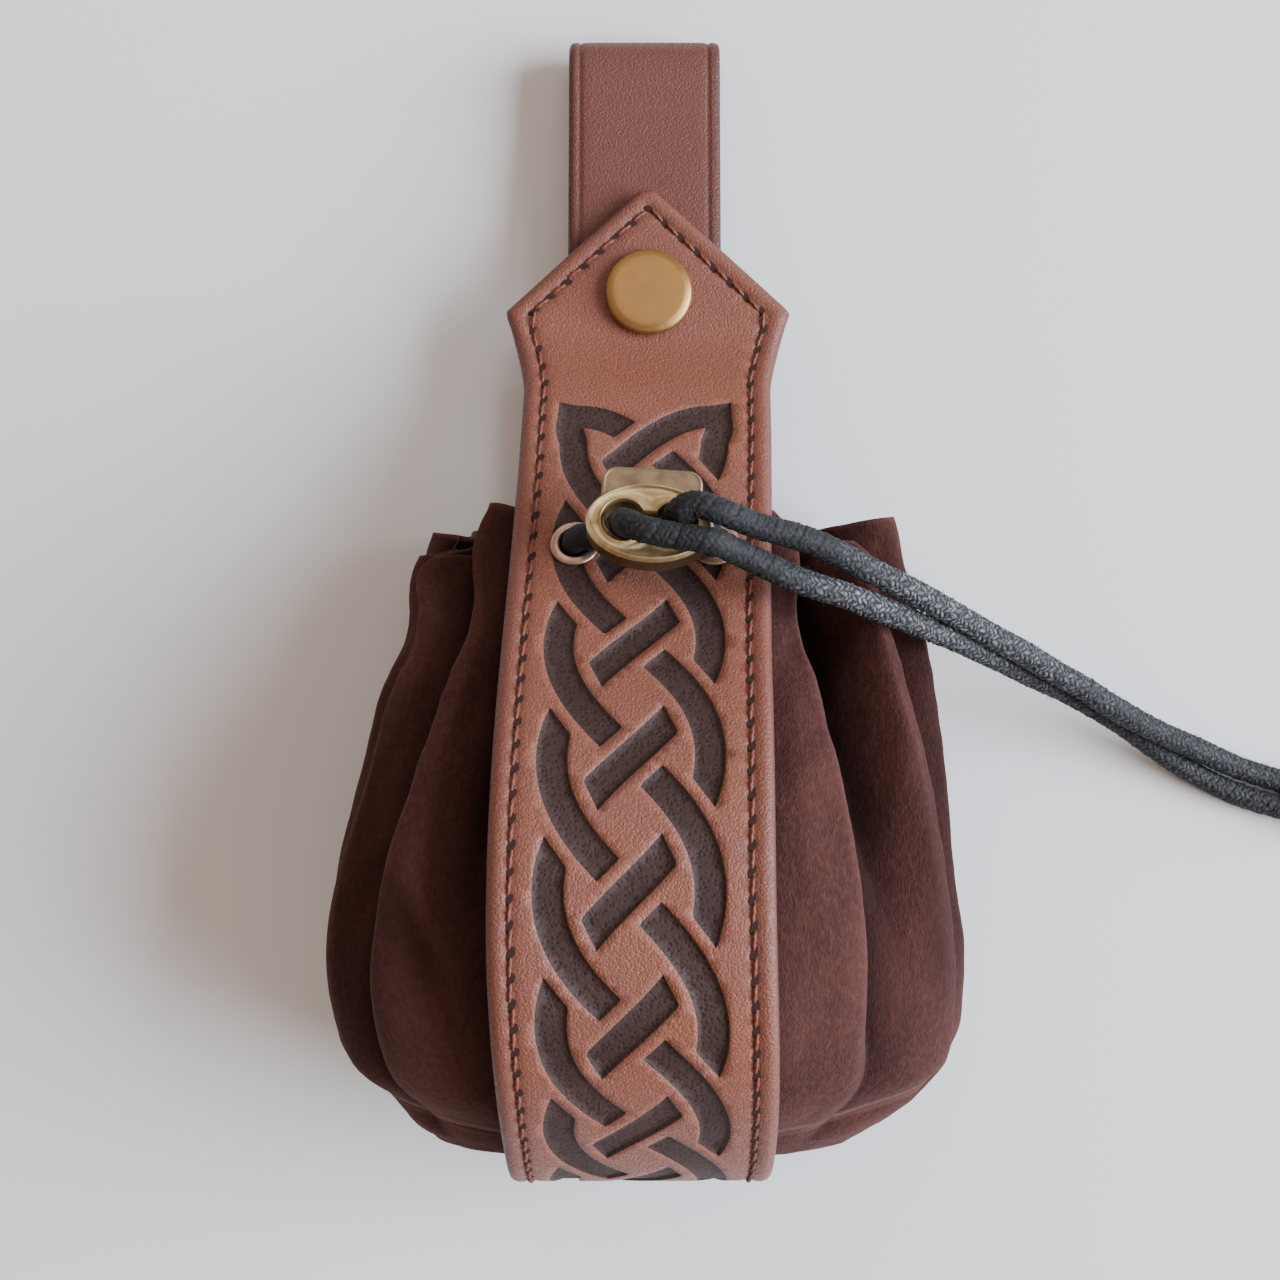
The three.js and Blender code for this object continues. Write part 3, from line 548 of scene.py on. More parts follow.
def gather_crown(share, crease, along):
    """A gather's height across it: 0 at both creases and 1 at its crest, round on the side
    that leans and hollow on the other."""
    crest = crease[..., CREST]
    risen = np.minimum(share / crest, (1 - share) / (1 - crest))
    far_side = (share - crest) * crease[..., LEAN] < 0
    hollow = crease[..., HOLLOW] * far_side * ease(0, 0.12, along) * (1 - ease(0.45, 0.8, along))
    return mix(np.sin(np.pi / 2 * risen), ease(0.35, 0.85, risen), hollow)


def bag_point(place, along, folded=True):
    """A point of the bag's outside. place counts gathers: 2.5 is the middle of the third.
    The CAD part has even gathers; here the crests lean over their creases. Unfolded, it
    is the smooth bag round them."""
    gather = np.floor(place).astype(int) % len(CREASES)
    share = place - np.floor(place)
    crease, after = CREASES[gather], CREASES[(gather + 1) % len(CREASES)]
    wrap = np.where(after[..., MOUTH] < crease[..., MOUTH], 360, 0)
    angle = np.radians(mix(crease_angle(crease, along), crease_angle(after, along) + wrap, share))
    cos, sin = np.cos(angle), np.sin(angle)
    width = BAG_HALF_WIDTH * np.where(cos > 0, column(RIGHT, along), column(LEFT, along))
    top, bottom = BAG_DEPTH * column(TOP, along), BAG_DEPTH * column(BOTTOM, along)
    rise, half = np.maximum((top - bottom) / 2, 1e-6), np.maximum(width, 1e-6)
    x = half * np.sign(cos) * np.abs(cos) ** (2 / BAG_ROUNDNESS)
    z = rise * np.sign(sin) * np.abs(sin) ** (2 / BAG_ROUNDNESS)
    normal_x = np.sign(x) * np.abs(x / half) ** (BAG_ROUNDNESS - 1) / half
    normal_z = np.sign(z) * np.abs(z / rise) ** (BAG_ROUNDNESS - 1) / rise
    size = np.maximum(np.hypot(normal_x, normal_z), 1e-9)
    crown = gather_crown(share, crease, along) if folded else np.ones_like(share)
    nearest = np.where((share < crease[..., CREST])[..., None], crease, after)
    left = np.maximum(1 - along / nearest[..., FADES], 0)
    depth = FOLD_DEPTH * nearest[..., DEPTH] * np.minimum(1, 1.15 * left**0.75)
    seam = (along - seam_along(angle)) * BAG_LENGTH
    dip = SEAM_DIP * np.exp(-((seam / SEAM_WIDTH) ** 2))
    inward = np.minimum(depth * (1 - crown) + dip, 0.6 * half)
    leaning = ease(-0.05, 0.06, along) * mix(1, 0.3, ease(0.05, 0.2, along)) * (1 - ease(0.5, 0.95, along))
    lean = crease[..., LEAN] * crown**1.5 * leaning * folded
    x = x - (inward * normal_x + lean * normal_z) / size
    z = z - (inward * normal_z - lean * normal_x) / size
    z = soft_max(z + (top + bottom) / 2, rest_height(x), REST_ROUND)
    drop = RIM_STEP * mix(mix(crease[..., DROP], 0.5, 0.6), crease[..., DROP], crown)
    rounding = RIM_ROUND * (1 - crown) ** 2 * (crease[..., LEAN] > ROUNDED_LEAN)
    short = (drop + rounding) * np.maximum(0, 1 - along / 0.25) ** 2
    return np.stack([x, MOUTH_Y - short - along * BAG_LENGTH, z], -1)


# %% [markdown]
# The strap's line starts at the flap's tip, comes down to the bag's mouth, runs over
# the belly, round the base and back under the bag.

# %% The strap's line
FLAP_REACH = 57
FLAP_LINE = [(1.0, 0.475), (0.8, 0.499), (0.6, 0.525), (0.53, 0.54)]
FLAP_LINE += [(0.45, 0.6), (0.36, 0.7), (0.24, 0.815), (0.12, 0.91)]


def bag_middle():
    """The bag's middle line as (y, z): over the front, round the end and back."""
    places = np.concatenate([np.linspace(0, 0.75, 8), np.linspace(0.79, 0.985, 10)])
    front = BAG_DEPTH * column(TOP, places)
    back = soft_max(BAG_DEPTH * column(BOTTOM, places), rest_height(0), REST_ROUND)
    along = np.concatenate([places, [1], places[::-1]])
    height = np.concatenate([front, [BAG_DEPTH * SECTIONS[-1, TOP]], back[::-1]])
    return np.stack([MOUTH_Y - along * BAG_LENGTH, height], -1)


def offset_line(points, distance):
    ways = directions(points)
    return points + distance * np.stack([ways[:, 1], -ways[:, 0]], -1)


def strap_centre(y, on_back):
    share = (y - BASE_Y) / BAG_LENGTH
    flap_side = mix(-0.35, 0.4, ease(0.75, 1.3, share))
    belly = -0.75 * ease(0, 0.45, share) * (1 - ease(0.45, 1.1, share))
    return STRAP_SWAY * np.where(on_back, -0.35, flap_side + belly)


wrap_line = offset_line(bag_middle(), STAND_OFF)
mouth_height = wrap_line[0, 1]
flap_points = [(MOUTH_Y + out * FLAP_REACH, height * mouth_height) for out, height in FLAP_LINE]
back_points = [(MOUTH_Y + share * STRAP_BACK_REACH, 0) for share in (0.5, 1)]
strap_points = np.vstack([flap_points, wrap_line, back_points])
on_back = np.arange(len(strap_points)) > len(flap_points) + len(wrap_line) / 2
strap_x = strap_centre(strap_points[:, 0], on_back)
strap_line = Line(np.column_stack([strap_x, strap_points[:, 0], np.maximum(strap_points[:, 1], 0)]))
print("strap length in mm:", round(strap_line.length, 1))


def on_ribbon(line, distance, across, height):
    """Points of a ribbon: a distance along its line, across it and above its face."""
    distance = np.asarray(distance, float)
    ways = line.way(distance)
    out = unit(np.stack([np.zeros_like(distance), ways[..., 2], -ways[..., 1]], -1))
    points = line.at(distance) + out * np.asarray(height)[..., None]
    points[..., 0] += across
    return points, ways, out


# %% [markdown]
# ## The cord
#
# The cord is a round braid. On the tube's surface two families of threads run as
# opposite spirals, and each passes over two of the others and under two. The height of
# the higher thread at a spot is the height of the cord there.

# %% Seats on the strap
EYELETS_AT, EYELET_SPACING, FITTINGS_ACROSS = 68.7, 22.4, 0.15
LOCK_AT, LOCK_ACROSS, LOCK_LIFT, LOCK_TILT, LOCK_TURN = 72.2, 0.8, 10.5, 15, -4
SNAP_AT, SNAP_ACROSS = 18.6, 0.9


class Seat:
    """A place with its own axes: +Z away from the strap and +Y up towards the flap."""

    def __init__(self, origin, axes):
        self.origin = np.asarray(origin, float)
        self.axes = np.asarray(axes, float)

    def put(self, points):
        return self.origin + np.asarray(points, float) @ self.axes


def strap_seat(distance, across):
    points, ways, out = on_ribbon(strap_line, distance, 0, 0.0)
    points[0] = across
    return Seat(points, [(1, 0, 0), -ways, out])


def lock_seat():
    under = strap_seat(LOCK_AT, LOCK_ACROSS)
    tilt, turn = math.radians(-LOCK_TILT), math.radians(LOCK_TURN)
    cos_x, sin_x, cos_z, sin_z = math.cos(tilt), math.sin(tilt), math.cos(turn), math.sin(turn)
    about_x = np.array([[1, 0, 0], [0, cos_x, -sin_x], [0, sin_x, cos_x]])
    about_z = np.array([[cos_z, -sin_z, 0], [sin_z, cos_z, 0], [0, 0, 1]])
    return Seat(under.put((0, 0, LOCK_LIFT)), (about_x @ about_z).T)


snap_seat = strap_seat(SNAP_AT, SNAP_ACROSS)
eyelet_places = [(EYELETS_AT, FITTINGS_ACROSS + side * EYELET_SPACING / 2) for side in (-1, 1)]
eyelet_seats = [strap_seat(*place) for place in eyelet_places]
lock = lock_seat()
print("cord lock at", lock.origin.round(1), "mm")

# %% The cord's routes
CORD_DIAMETER = 3.8
LOCK_THICKNESS, LOCK_HOLES_APART = 6, 8.1
FLANGE_TOP = 1.1
OVER_LOCK = LOCK_THICKNESS / 2 + CORD_DIAMETER / 2 + 0.6

# From an eyelet to the lock: share of the way across, and millimetres up
CLIMB = [(0.0, 0.0), (0.09, 1.7), (0.38, 3.1), (0.74, 3.7), (0.95, 4.8)]

# Round the inside of the mouth, from the left eyelet to the right
INSIDE_ROUTE = [
    (-11.6, 1.2, 29.0), (-14.2, 0.5, 24.6), (-20.5, -0.4, 22.9), (-26.2, -0.5, 20.8), (-28.2, -0.5, 17.4),
    (-25.2, -0.5, 14.3), (-16.5, -0.5, 12.6), (-5.0, -0.5, 12.1), (8.0, -0.5, 12.1), (20.0, -0.5, 12.8),
    (28.6, -0.5, 15.0), (31.6, -0.5, 18.4), (29.6, -0.5, 21.2), (23.6, -0.4, 22.9), (16.4, 0.2, 24.6),
    (12.3, 1.0, 28.6),
]

# The free strands past the lock, over the right-hand gathers and down to the table
UPPER_ROUTE = [
    (17.1, 8.0, 52.0), (26.3, 5.6, 48.0), (35.9, 1.4, 43.0), (45.5, -2.8, 37.0), (57.3, -8.4, 28.8),
    (66.0, -12.6, 23.4), (77.0, -18.2, 17.0), (88.5, -24.4, 11.0), (98.0, -28.3, 6.9), (107.8, -32.6, 3.7),
    (116.6, -35.4, 2.1), (121.6, -36.9, 2.1),
]
LOWER_ROUTE = [
    (14.1, 3.8, 53.2), (23.4, -0.1, 48.5), (32.9, -2.9, 42.8), (43.3, -6.5, 35.6), (54.2, -10.2, 27.2),
    (65.3, -14.8, 19.0), (77.2, -19.8, 12.2), (88.9, -26.5, 6.6), (100.7, -34.0, 3.2), (108.3, -37.6, 2.3),
    (116.7, -40.3, 2.1), (121.6, -41.5, 2.1),
]


def in_hole(side, height):
    """A point on the cord in one of the lock's holes, -1 left and 1 right."""
    return lock.put((side * LOCK_HOLES_APART / 2, 0.5 + side * 0.7, height))


def climb(side):
    """From an eyelet's back up through it and over to the lock's hole."""
    seat = eyelet_seats[(side + 1) // 2]
    start = seat.put((0, 0, FLANGE_TOP))
    up = seat.axes[2]
    flat = in_hole(side, -LOCK_THICKNESS / 2) - start
    flat = flat - up * np.dot(flat, up)
    bend = [start + flat * across + up * rise for across, rise in CLIMB]
    ends = [in_hole(side, -LOCK_THICKNESS / 2), in_hole(side, -0.15)]
    return [seat.put((0, 0, -6)), seat.put((0, 0, -2.5)), *bend, *ends]


def free_line(side, bends, route):
    """A free strand: out of its hole, over the lock's face and along its route. A bend
    is a place on the lock's face and how far the cord there is above it."""
    start = [in_hole(side, 0.15), in_hole(side, LOCK_THICKNESS / 2 - 0.4)]
    return Line([*start, *(lock.put((x, y, OVER_LOCK + z)) for x, y, z in bends), *route])


hole = LOCK_HOLES_APART / 2
UPPER_BENDS = [(hole + 0.7, 1.4, -0.5), (hole + 2.6, 2.1, 0.4), (hole + 6.2, 1.5, 0.2)]
LOWER_BENDS = [(-hole + 0.8, -1.2, -0.5), (-hole + 3.4, -2.3, 0.4)]
LOWER_BENDS += [(hole, -3.0, 0.3), (hole + 5.6, -3.4, 0.1)]

held_line = Line([*climb(-1)[::-1], *INSIDE_ROUTE, *climb(1)])
upper_line = free_line(1, UPPER_BENDS, UPPER_ROUTE)
lower_line = free_line(-1, LOWER_BENDS, LOWER_ROUTE)

# %% The braid
BRAID_THREADS = 12
BRAID_PITCH = 1.1
BRAID_RELIEF = 0.34
WEAR_AND_GLINT_AT, WEAR_AND_GLINT = (30, 46, 78, 102), (0, 0.95, 0.75, 0.2)
LUMPS = ((2.1, 1, 0.3), (3.7, 2, 1.9), (5.3, 3, 4.1), (8.9, 5, 2.2))


def thread_height(turns, other):
    """A thread's height from 0 to 1: round across itself, and up and down over the
    other family."""
    across = turns - np.floor(turns)
    roundness = np.sqrt(np.maximum(1 - (2 * across - 1) ** 2, 0))
    return roundness * (0.58 + 0.42 * other)


def braid_height(distance, angle):
    distance = distance + 0.22 * np.sin(1.7 * distance) + 0.16 * np.sin(2.9 * distance + 2 * angle)
    angle = angle + 0.3 * np.sin(0.45 * distance) + 0.12 * np.sin(1.3 * distance + 1)
    one = angle * BRAID_THREADS / (2 * np.pi) + distance / BRAID_PITCH
    two = angle * BRAID_THREADS / (2 * np.pi) - distance / BRAID_PITCH
    weave_one = np.sin(np.pi / 2 * (two + np.floor(one)))
    weave_two = -np.sin(np.pi / 2 * (one + np.floor(two)))
    return np.maximum(thread_height(one, weave_one), thread_height(two, weave_two))


def braided(name, line, step, sides):
    """A braided cord along a line, with the threads' crowns in the layer `edge`, and in a
    second layer how much rubbing and painted highlight it gets: most in the middle of the free stretch."""
    path = line.at(np.linspace(0, line.length, round(line.length / step)))
    path = path + np.stack([wobble(path, 9, seed) for seed in (2, 5, 9)], -1) * (0.16, 0.16, 0.0)
    crowns = []

    def surface(distance, angle):
        height = braid_height(distance, angle)
        crowns.append(height.ravel())
        slack = 1.07 + 0.02 * np.sin(distance / 3.7)
        for along, around, start_at in LUMPS:
            slack = slack + 0.016 * np.sin(distance * along + around * angle + start_at)
        relief = BRAID_RELIEF * np.interp(distance, WEAR_AND_GLINT_AT, (0.5, 0.85, 0.85, 0.8))
        return slack * (CORD_DIAMETER / 2 - relief * 0.6 + relief * height)

    points, faces = tube(path, surface, sides)
    points[:, 2] = np.maximum(points[:, 2], ABOVE_FLOOR)
    made = new_object(name, points, faces, [black_cord])
    add_layer(made, "edge", crowns[0])
    wear_and_glint = np.interp(np.linspace(0, line.length, len(path)), WEAR_AND_GLINT_AT, WEAR_AND_GLINT) * (line is not held_line)
    add_layer(made, "wear_and_glint", np.repeat(wear_and_glint, sides))
    return made


held_cord = braided("held_cord", held_line, 0.38, 28)
stand_for(held_cord, ["drawstring_loop"])
upper_cord = braided("upper_cord", upper_line, 0.17, 66)
stand_for(upper_cord, ["strand_upper"])
lower_cord = braided("lower_cord", lower_line, 0.17, 66)
stand_for(lower_cord, ["strand_lower"])

# %% [markdown]
# The two strands end in a knot. Its wraps are a short coil that grows out of the
# strands and closes on them again, with a turn laid slantwise over it, and the cut ends
# stand out behind.

# %% The knot
KNOT_RADIUS, KNOT_LENGTH, KNOT_TAIL, KNOT_LEAN = 5.0, 11.0, 6.0, -15
KNOT_WRAPS = 2.2


def knot_seat():
    ends = (np.array(UPPER_ROUTE[-1]) + np.array(LOWER_ROUTE[-1])) / 2
    lean = math.radians(KNOT_LEAN)
    along = np.array([math.cos(lean), math.sin(lean), 0])
    middle = ends + (KNOT_LENGTH / 2 + 0.3, KNOT_LENGTH / 2 * math.sin(lean), 0)
    middle[2] = KNOT_RADIUS
    return Seat(middle, [along, (-along[1], along[0], 0), (0, 0, 1)])


def knot_paths():
    """The wraps, the two strands going in, and the two tails, in the knot's axes."""
    reach = KNOT_LENGTH / 2 - CORD_DIAMETER / 2
    turn = np.linspace(0, 2 * np.pi * KNOT_WRAPS, 90)
    share = turn / turn[-1]
    swell = (KNOT_RADIUS - CORD_DIAMETER / 2 - 0.1) * np.sin(np.pi * np.clip(share, 0.07, 0.93)) ** 0.35
    along = mix(-reach, reach, share) + 0.9 * np.sin(turn)
    paths = [np.stack([along, swell * np.cos(turn), swell * np.sin(turn)], -1)]
    for side in (-1, 1):
        end = KNOT_LENGTH / 2 + KNOT_TAIL - 1.5 * (side > 0)
        into = [(-KNOT_LENGTH / 2 - 0.5, side * 2.2, -2.7), (-reach + 0.5, side * 1.6, -1.2)]
        into.append((0, side * 1.2, 0))
        tail = [(0, side * 1.0, 0), (reach, side * 1.7, -0.9)]
        tail += [(KNOT_LENGTH / 2 + 3, side * 2.6, -2.2), (end, side * 3.0, -3.0)]
        paths += [Line(into).samples, Line(tail).samples]
    return paths


knot_place = knot_seat()
knot_crowns = []


def knot_surface(distance, angle):
    height = braid_height(distance, angle)
    knot_crowns.append(height.ravel())
    return CORD_DIAMETER / 2 - BRAID_RELIEF * 0.75 + BRAID_RELIEF * height


knot_points, knot_faces = np.zeros((0, 3)), []
for path in knot_paths():
    points, faces = tube(spaced(path, 0.28), knot_surface, 32)
    knot_faces += [[corner + len(knot_points) for corner in face] for face in faces]
    knot_points = np.vstack([knot_points, knot_place.put(points)])
knot_points[:, 2] = np.maximum(knot_points[:, 2], ABOVE_FLOOR)
knot = new_object("knot", knot_points, knot_faces, [black_cord])
add_layer(knot, "edge", np.concatenate(knot_crowns))
stand_for(knot, ["cord_knot"])

for cord, line in ((upper_cord, upper_line), (lower_cord, lower_line)):
    path = line.at(np.linspace(0, line.length, 80)) * MM
    print(cord.name, "length in mm:", round(line.length, 1))

# %% [markdown]
# The CAD wall has 14 gathers with a dozen rows. The same formula on a fine grid gives
# smooth bulges, and three grains of noise, strongest near the mouth, crumple them.

# %% Suede wall and base
WALL_COLUMNS = 14 * 34
WALL_ROWS, INSIDE_ROWS, BASE_ROWS = 96, 14, 34
SEAM_GAP = 0.3 / BAG_LENGTH / 2


def bag_grid(along, place, folded=True):
    """Points and outward normals on a grid of rows (along) and columns (place)."""
    points = bag_point(place, along, folded)
    around = np.roll(points, -1, axis=1) - np.roll(points, 1, axis=1)
    after = bag_point(place, np.minimum(along + 0.003, 1), folded)
    before = bag_point(place, np.maximum(along - 0.003, 0), folded)
    return points, unit(np.cross(around, after - before))


def crumple(points, along, seed):
    """How far each point stands out from the smooth bag, in mm."""
    long_folds = wobble(points * (1, 0.35, 1), 7.0, seed)
    small_folds = wobble(points * (1, 0.6, 1), 3.0, seed + 1)
    puckers = wobble(points * (1, 1.2, 1), 1.3, seed + 2)
    near_mouth = 1 - ease(0.1, 0.75, along.ravel())
    return long_folds * (0.3 + 0.7 * near_mouth) + small_folds * (0.08 + 0.22 * near_mouth) + puckers * 0.04


# A crease that slants over the left gather, seen from above: x, y and depth
SLANT = [(-41.5, -43, 0), (-39, -46, 1.6), (-36, -52, 2.8)]
SLANT += [(-32.5, -57.5, 2.6), (-29.5, -63, 1.4), (-27, -69, 0)]
SLANT_MIDDLE, SLANT_REACH, FRONT_ABOVE = (-34, -56), (16, 24), 20
SLANT_STEEP, SLANT_GENTLE, SLANT_SHADE = 1.6, 6.5, 0.16
# Painted shade darkens both far sides, where the nap turns away from the light
LEFT_SHADE, RIGHT_SHADE = 0.4, 0.5


def slant_depth(points):
    """How far the slanting crease presses each point down: steep on its right side."""
    line = spaced(SLANT, 0.5)
    flat, level = points.reshape(-1, 3)[:, :2], points.reshape(-1, 3)[:, 2]
    near = (np.abs(flat - SLANT_MIDDLE) < SLANT_REACH).all(axis=1) & (level > FRONT_ABOVE)
    far, which = nearest_distance(flat[near], line)
    way = unit(np.gradient(line[:, :2], axis=0))[which]
    offset = flat[near] - line[which, :2]
    on_right = way[:, 0] * offset[:, 1] - way[:, 1] * offset[:, 0] > 0
    width = np.where(on_right, SLANT_STEEP, SLANT_GENTLE)
    depth = np.zeros(len(flat))
    depth[near] = line[which, 2] * np.exp(-((far / width) ** 2))
    return depth.reshape(points.shape[:-1])


def suede_shell(name, along, place, inside_rows, seed):
    """A shell with a fine outside and a coarser inside, joined along both edges."""
    points, out = bag_grid(along, place)
    rows, columns = along.shape
    amount = crumple(points, along, seed).reshape(rows, columns, 1)
    points = points + out * amount
    dip = slant_depth(points)
    points[..., 2] = np.maximum(points[..., 2] - dip, 0.05)
    _, smooth_out = bag_grid(along, place, folded=False)
    inside = points - smooth_out * SUEDE_THICKNESS
    # The inside has few rows, so each keeps clear of the crease on both sides of it
    deepest = np.maximum.reduce([np.roll(dip, shift, axis=0) for shift in range(-7, 8)])
    inside[..., 2] -= deepest - dip
    inside = inside[inside_rows]
    edge = np.zeros((rows, columns))
    edge[0] = edge[-1] = 0.75
    edge[1] = 0.3
    inside_edge = np.zeros(inside.shape[:2])
    inside_edge[0] = 0.75
    faces = grid_faces(rows, columns, closed=True)
    faces += flipped(grid_faces(len(inside_rows), columns, closed=True, first=rows * columns))
    after = (np.arange(columns) + 1) % columns
    for outer, inner, flip in ((0, 0, False), (rows - 1, len(inside_rows) - 1, True)):
        o, i = outer * columns, (rows + inner) * columns
        strip = [[o + c, i + c, i + after[c], o + after[c]] for c in range(columns)]
        faces += flipped(strip) if flip else strip
    everything = np.vstack([points.reshape(-1, 3), inside.reshape(-1, 3)])
    made = new_object(name, everything, faces, [suede])
    add_layer(made, "edge", np.concatenate([edge.ravel(), inside_edge.ravel()]))
    # Painted shade for the layer crease: dark in the creases and fading towards the base, on both far sides
    # and along the slanting crease
    gather = np.floor(place).astype(int) % len(CREASES)
    crown = gather_crown(place - np.floor(place), CREASES[gather], along)
    fading = np.maximum(1 - along / 1.05, 0) ** 0.5
    painted_shade = (1 - ease(0.0, 0.75, crown)) * fading
    painted_shade = np.maximum(painted_shade, LEFT_SHADE * (1 - ease(-45, -37, points[..., 0])))
    painted_shade = np.maximum(painted_shade, RIGHT_SHADE * ease(39, 48, points[..., 0]) * (1 - ease(0.6, 0.85, along)))
    painted_shade = np.maximum(painted_shade, dip * SLANT_SHADE)
    # The inside is painted fully in shade
    add_layer(made, "crease", np.concatenate([painted_shade.ravel(), np.ones(inside_edge.size)]))
    return made


# Rows stand closer at the mouth, where the folds are
row_shares = np.linspace(0, 1, WALL_ROWS) ** 1.15
steps = np.arange(WALL_COLUMNS) / WALL_COLUMNS * len(CREASES)
belly_angle = np.radians(np.interp(steps, np.arange(15), np.append(CREASES[:, BELLY], 362)))
seam = seam_along(belly_angle)
wall_along = row_shares[:, None] * (seam - SEAM_GAP)[None, :]
wall_place = np.broadcast_to(steps, wall_along.shape)
inside_rows = np.unique(np.round(np.linspace(0, 1, INSIDE_ROWS) ** 1.5 * (WALL_ROWS - 1)).astype(int))
bag_wall = suede_shell("bag_wall", wall_along, wall_place, inside_rows, 1)
stand_for(bag_wall, ["suede_wall"])

base_shares = np.linspace(0, 0.997, BASE_ROWS) ** 0.8
base_along = mix((seam + 2 * SEAM_GAP)[None, :], 1, base_shares[:, None])
base_place = np.broadcast_to(steps, base_along.shape)
bag_base = suede_shell("bag_base", base_along, base_place, np.arange(0, BASE_ROWS, 3), 4)
stand_for(bag_base, ["suede_base"])

# %% [markdown]
# ## The strap, laid flat
#
# The strap is drawn flat first, as a strip with `distance` down its length and
# `across` over its width, and bent onto its line at the very end. Flat, it is easy to
# draw the edge, the line of stitches and the plait on it.

# %% The strap's outline and stitch line
FLAP_WIDTH, FLAP_POINT, FLAP_NECK, FLAP_TIP = 49, 21.6, 37, 2.4
STITCH_INSET, STITCH_PITCH, STITCH_LINE_STEP = 3.2, 3.85, 0.25
HOLE_RADIUS = 3.0
STRAP_LENGTH = strap_line.length


def strap_half_width(distance):
    distance = np.asarray(distance, float)
    point = mix(FLAP_TIP, FLAP_WIDTH, distance / FLAP_POINT)
    to_neck = np.clip(1 - (distance - FLAP_POINT) / (FLAP_NECK - FLAP_POINT), 0, 1)
    corner = np.maximum(0, distance - STRAP_LENGTH + 3) / 3
    rest = mix(STRAP_WIDTH, FLAP_WIDTH, to_neck**1.5) - 3 * corner**2
    return np.where(distance < FLAP_POINT, point, rest) / 2


def sideways(path, amount, closed=False):
    """A flat path moved to its left, as (distance, across)."""
    p = np.asarray(path, float)
    ways = unit(np.roll(p, -1, axis=0) - np.roll(p, 1, axis=0)) if closed else directions(p)
    return p + amount * np.stack([-ways[:, 1], ways[:, 0]], -1)


down = np.linspace(0, STRAP_LENGTH, 1600)
right_side = np.column_stack([down, strap_half_width(down)])
left_side = right_side[::-1] * (1, -1)
both_sides = np.vstack([right_side, left_side])
outline_fine, outline = (spaced(both_sides, step, closed=True) for step in (0.25, 1.0))


def inset(amount, step):
    """Points at one distance inside the outline, in order round it."""
    moved = sideways(outline_fine, -amount, closed=True)
    far, _ = nearest_distance(moved, outline_fine)
    return spaced(moved[far > amount - 0.06], step, closed=True)


stitch_line = inset(STITCH_INSET, STITCH_LINE_STEP)
stitch_line = stitch_line[stitch_line[:, 0] < STRAP_LENGTH - STITCH_INSET - 0.3]
turn = int(np.argmax(np.linalg.norm(np.diff(stitch_line, axis=0), axis=1))) + 1
stitch_line = spaced(np.roll(stitch_line, -turn, axis=0), STITCH_LINE_STEP)
print("stitch line:", len(stitch_line), "points, ends", stitch_line[0].round(1), stitch_line[-1].round(1))

# %% [markdown]
# ## The plait
#
# Four strands weave as in a flat braid. Each swings from side to side like a sine
# wave, one step after the next. Going down, a strand leans right or left: at the
# middle crossings the one leaning left is on top, at the side crossings the one
# leaning right. So three shapes repeat: a bar across the middle, an arc on the left
# and an arc on the right, each cut off where it dives under another.

# %% Plait
PLAIT_SWING, PLAIT_STEP, PLAIT_ACROSS = 11.75, 20.0, -0.3
BAND, BAND_GAP = 4.65, 1.85
PLAIT_CROSSINGS = 14
# Where the middle crossings lie down the strap: closer at the flap, then even
crossing_at = np.concatenate([[48.8, 67.8, 87.0], 107.2 + 20.3 * np.arange(PLAIT_CROSSINGS - 2)])
# The braid's end: from the first crossing to a sharp corner, and back down the side
CORNER_TOP = [(0, 0), (-1.9, 2.4), (-3.8, 5.4), (-5.0, 8.8), (-5.3, 12.3)]
CORNER_SIDE = [(-5.3, 12.3), (-2.6, 12.5), (0, 11.75)]
CORNER_TIP = (-8.3, 14.5)


def strand(start, end, phase):
    """A strand's middle line between two steps; phase is a step where it crosses the
    middle, leaning right."""
    u = np.linspace(start, end, 400)
    turn = np.pi / 2 * (u - phase)
    return np.column_stack([u * PLAIT_STEP, (PLAIT_SWING + 0.3) * np.sin(turn) + 0.3 * np.sin(3 * turn)])


def smooth(rows, lean):
    flat = [(u, lean * x, 0) for u, x in rows]
    return Line(flat).samples[:, :2]


def trimmed(edge, over):
    """An edge without its start, up to where it comes out from under another strand."""
    far, _ = nearest_distance(edge, over)
    first_half = far[: len(far) // 2]
    under = np.flatnonzero(first_half < BAND / 2 + BAND_GAP)
    return edge[under[-1] + 1 :] if len(under) else edge


def band_shape(path, over_start, over_end, tip=None):
    """The outline of a strand's visible piece, cut off by the strands over its ends. A
    tip is the sharp point of a corner, which goes into the outer edge."""
    path = spaced(path, 0.12)
    edges = []
    for side in (-1, 1):
        edge = sideways(path, side * BAND / 2)
        far, _ = nearest_distance(edge, path)
        edge = edge[far > BAND / 2 - 0.03]
        edge = trimmed(edge, over_start)
        edges.append(trimmed(edge[::-1], over_end)[::-1])
    if tip is not None:
        gaps = [np.hypot(*(edge - tip).T) for edge in edges]
        outer = int(gaps[1].min() < gaps[0].min())
        far, edge = gaps[outer], edges[outer]
        after = int(far.argmin())
        keep = far >= far.min() + 1.6
        edges[outer] = np.vstack([edge[:after][keep[:after]], [tip], edge[after:][keep[after:]]])
    return np.vstack([edges[0], edges[1][::-1]])


def bar(k):
    """Leaning left across the middle, on top there."""
    return strand(k - 0.8, k + 0.8, k + 2)


def left_arc(k):
    """Out to the left from under a side crossing and back to the middle."""
    return strand(k + 0.2, k + 2.25, k + 2)


def right_arc(k):
    """Out to the right from under a middle crossing, and under a side crossing."""
    return strand(k - 0.25, k + 1.8, k)


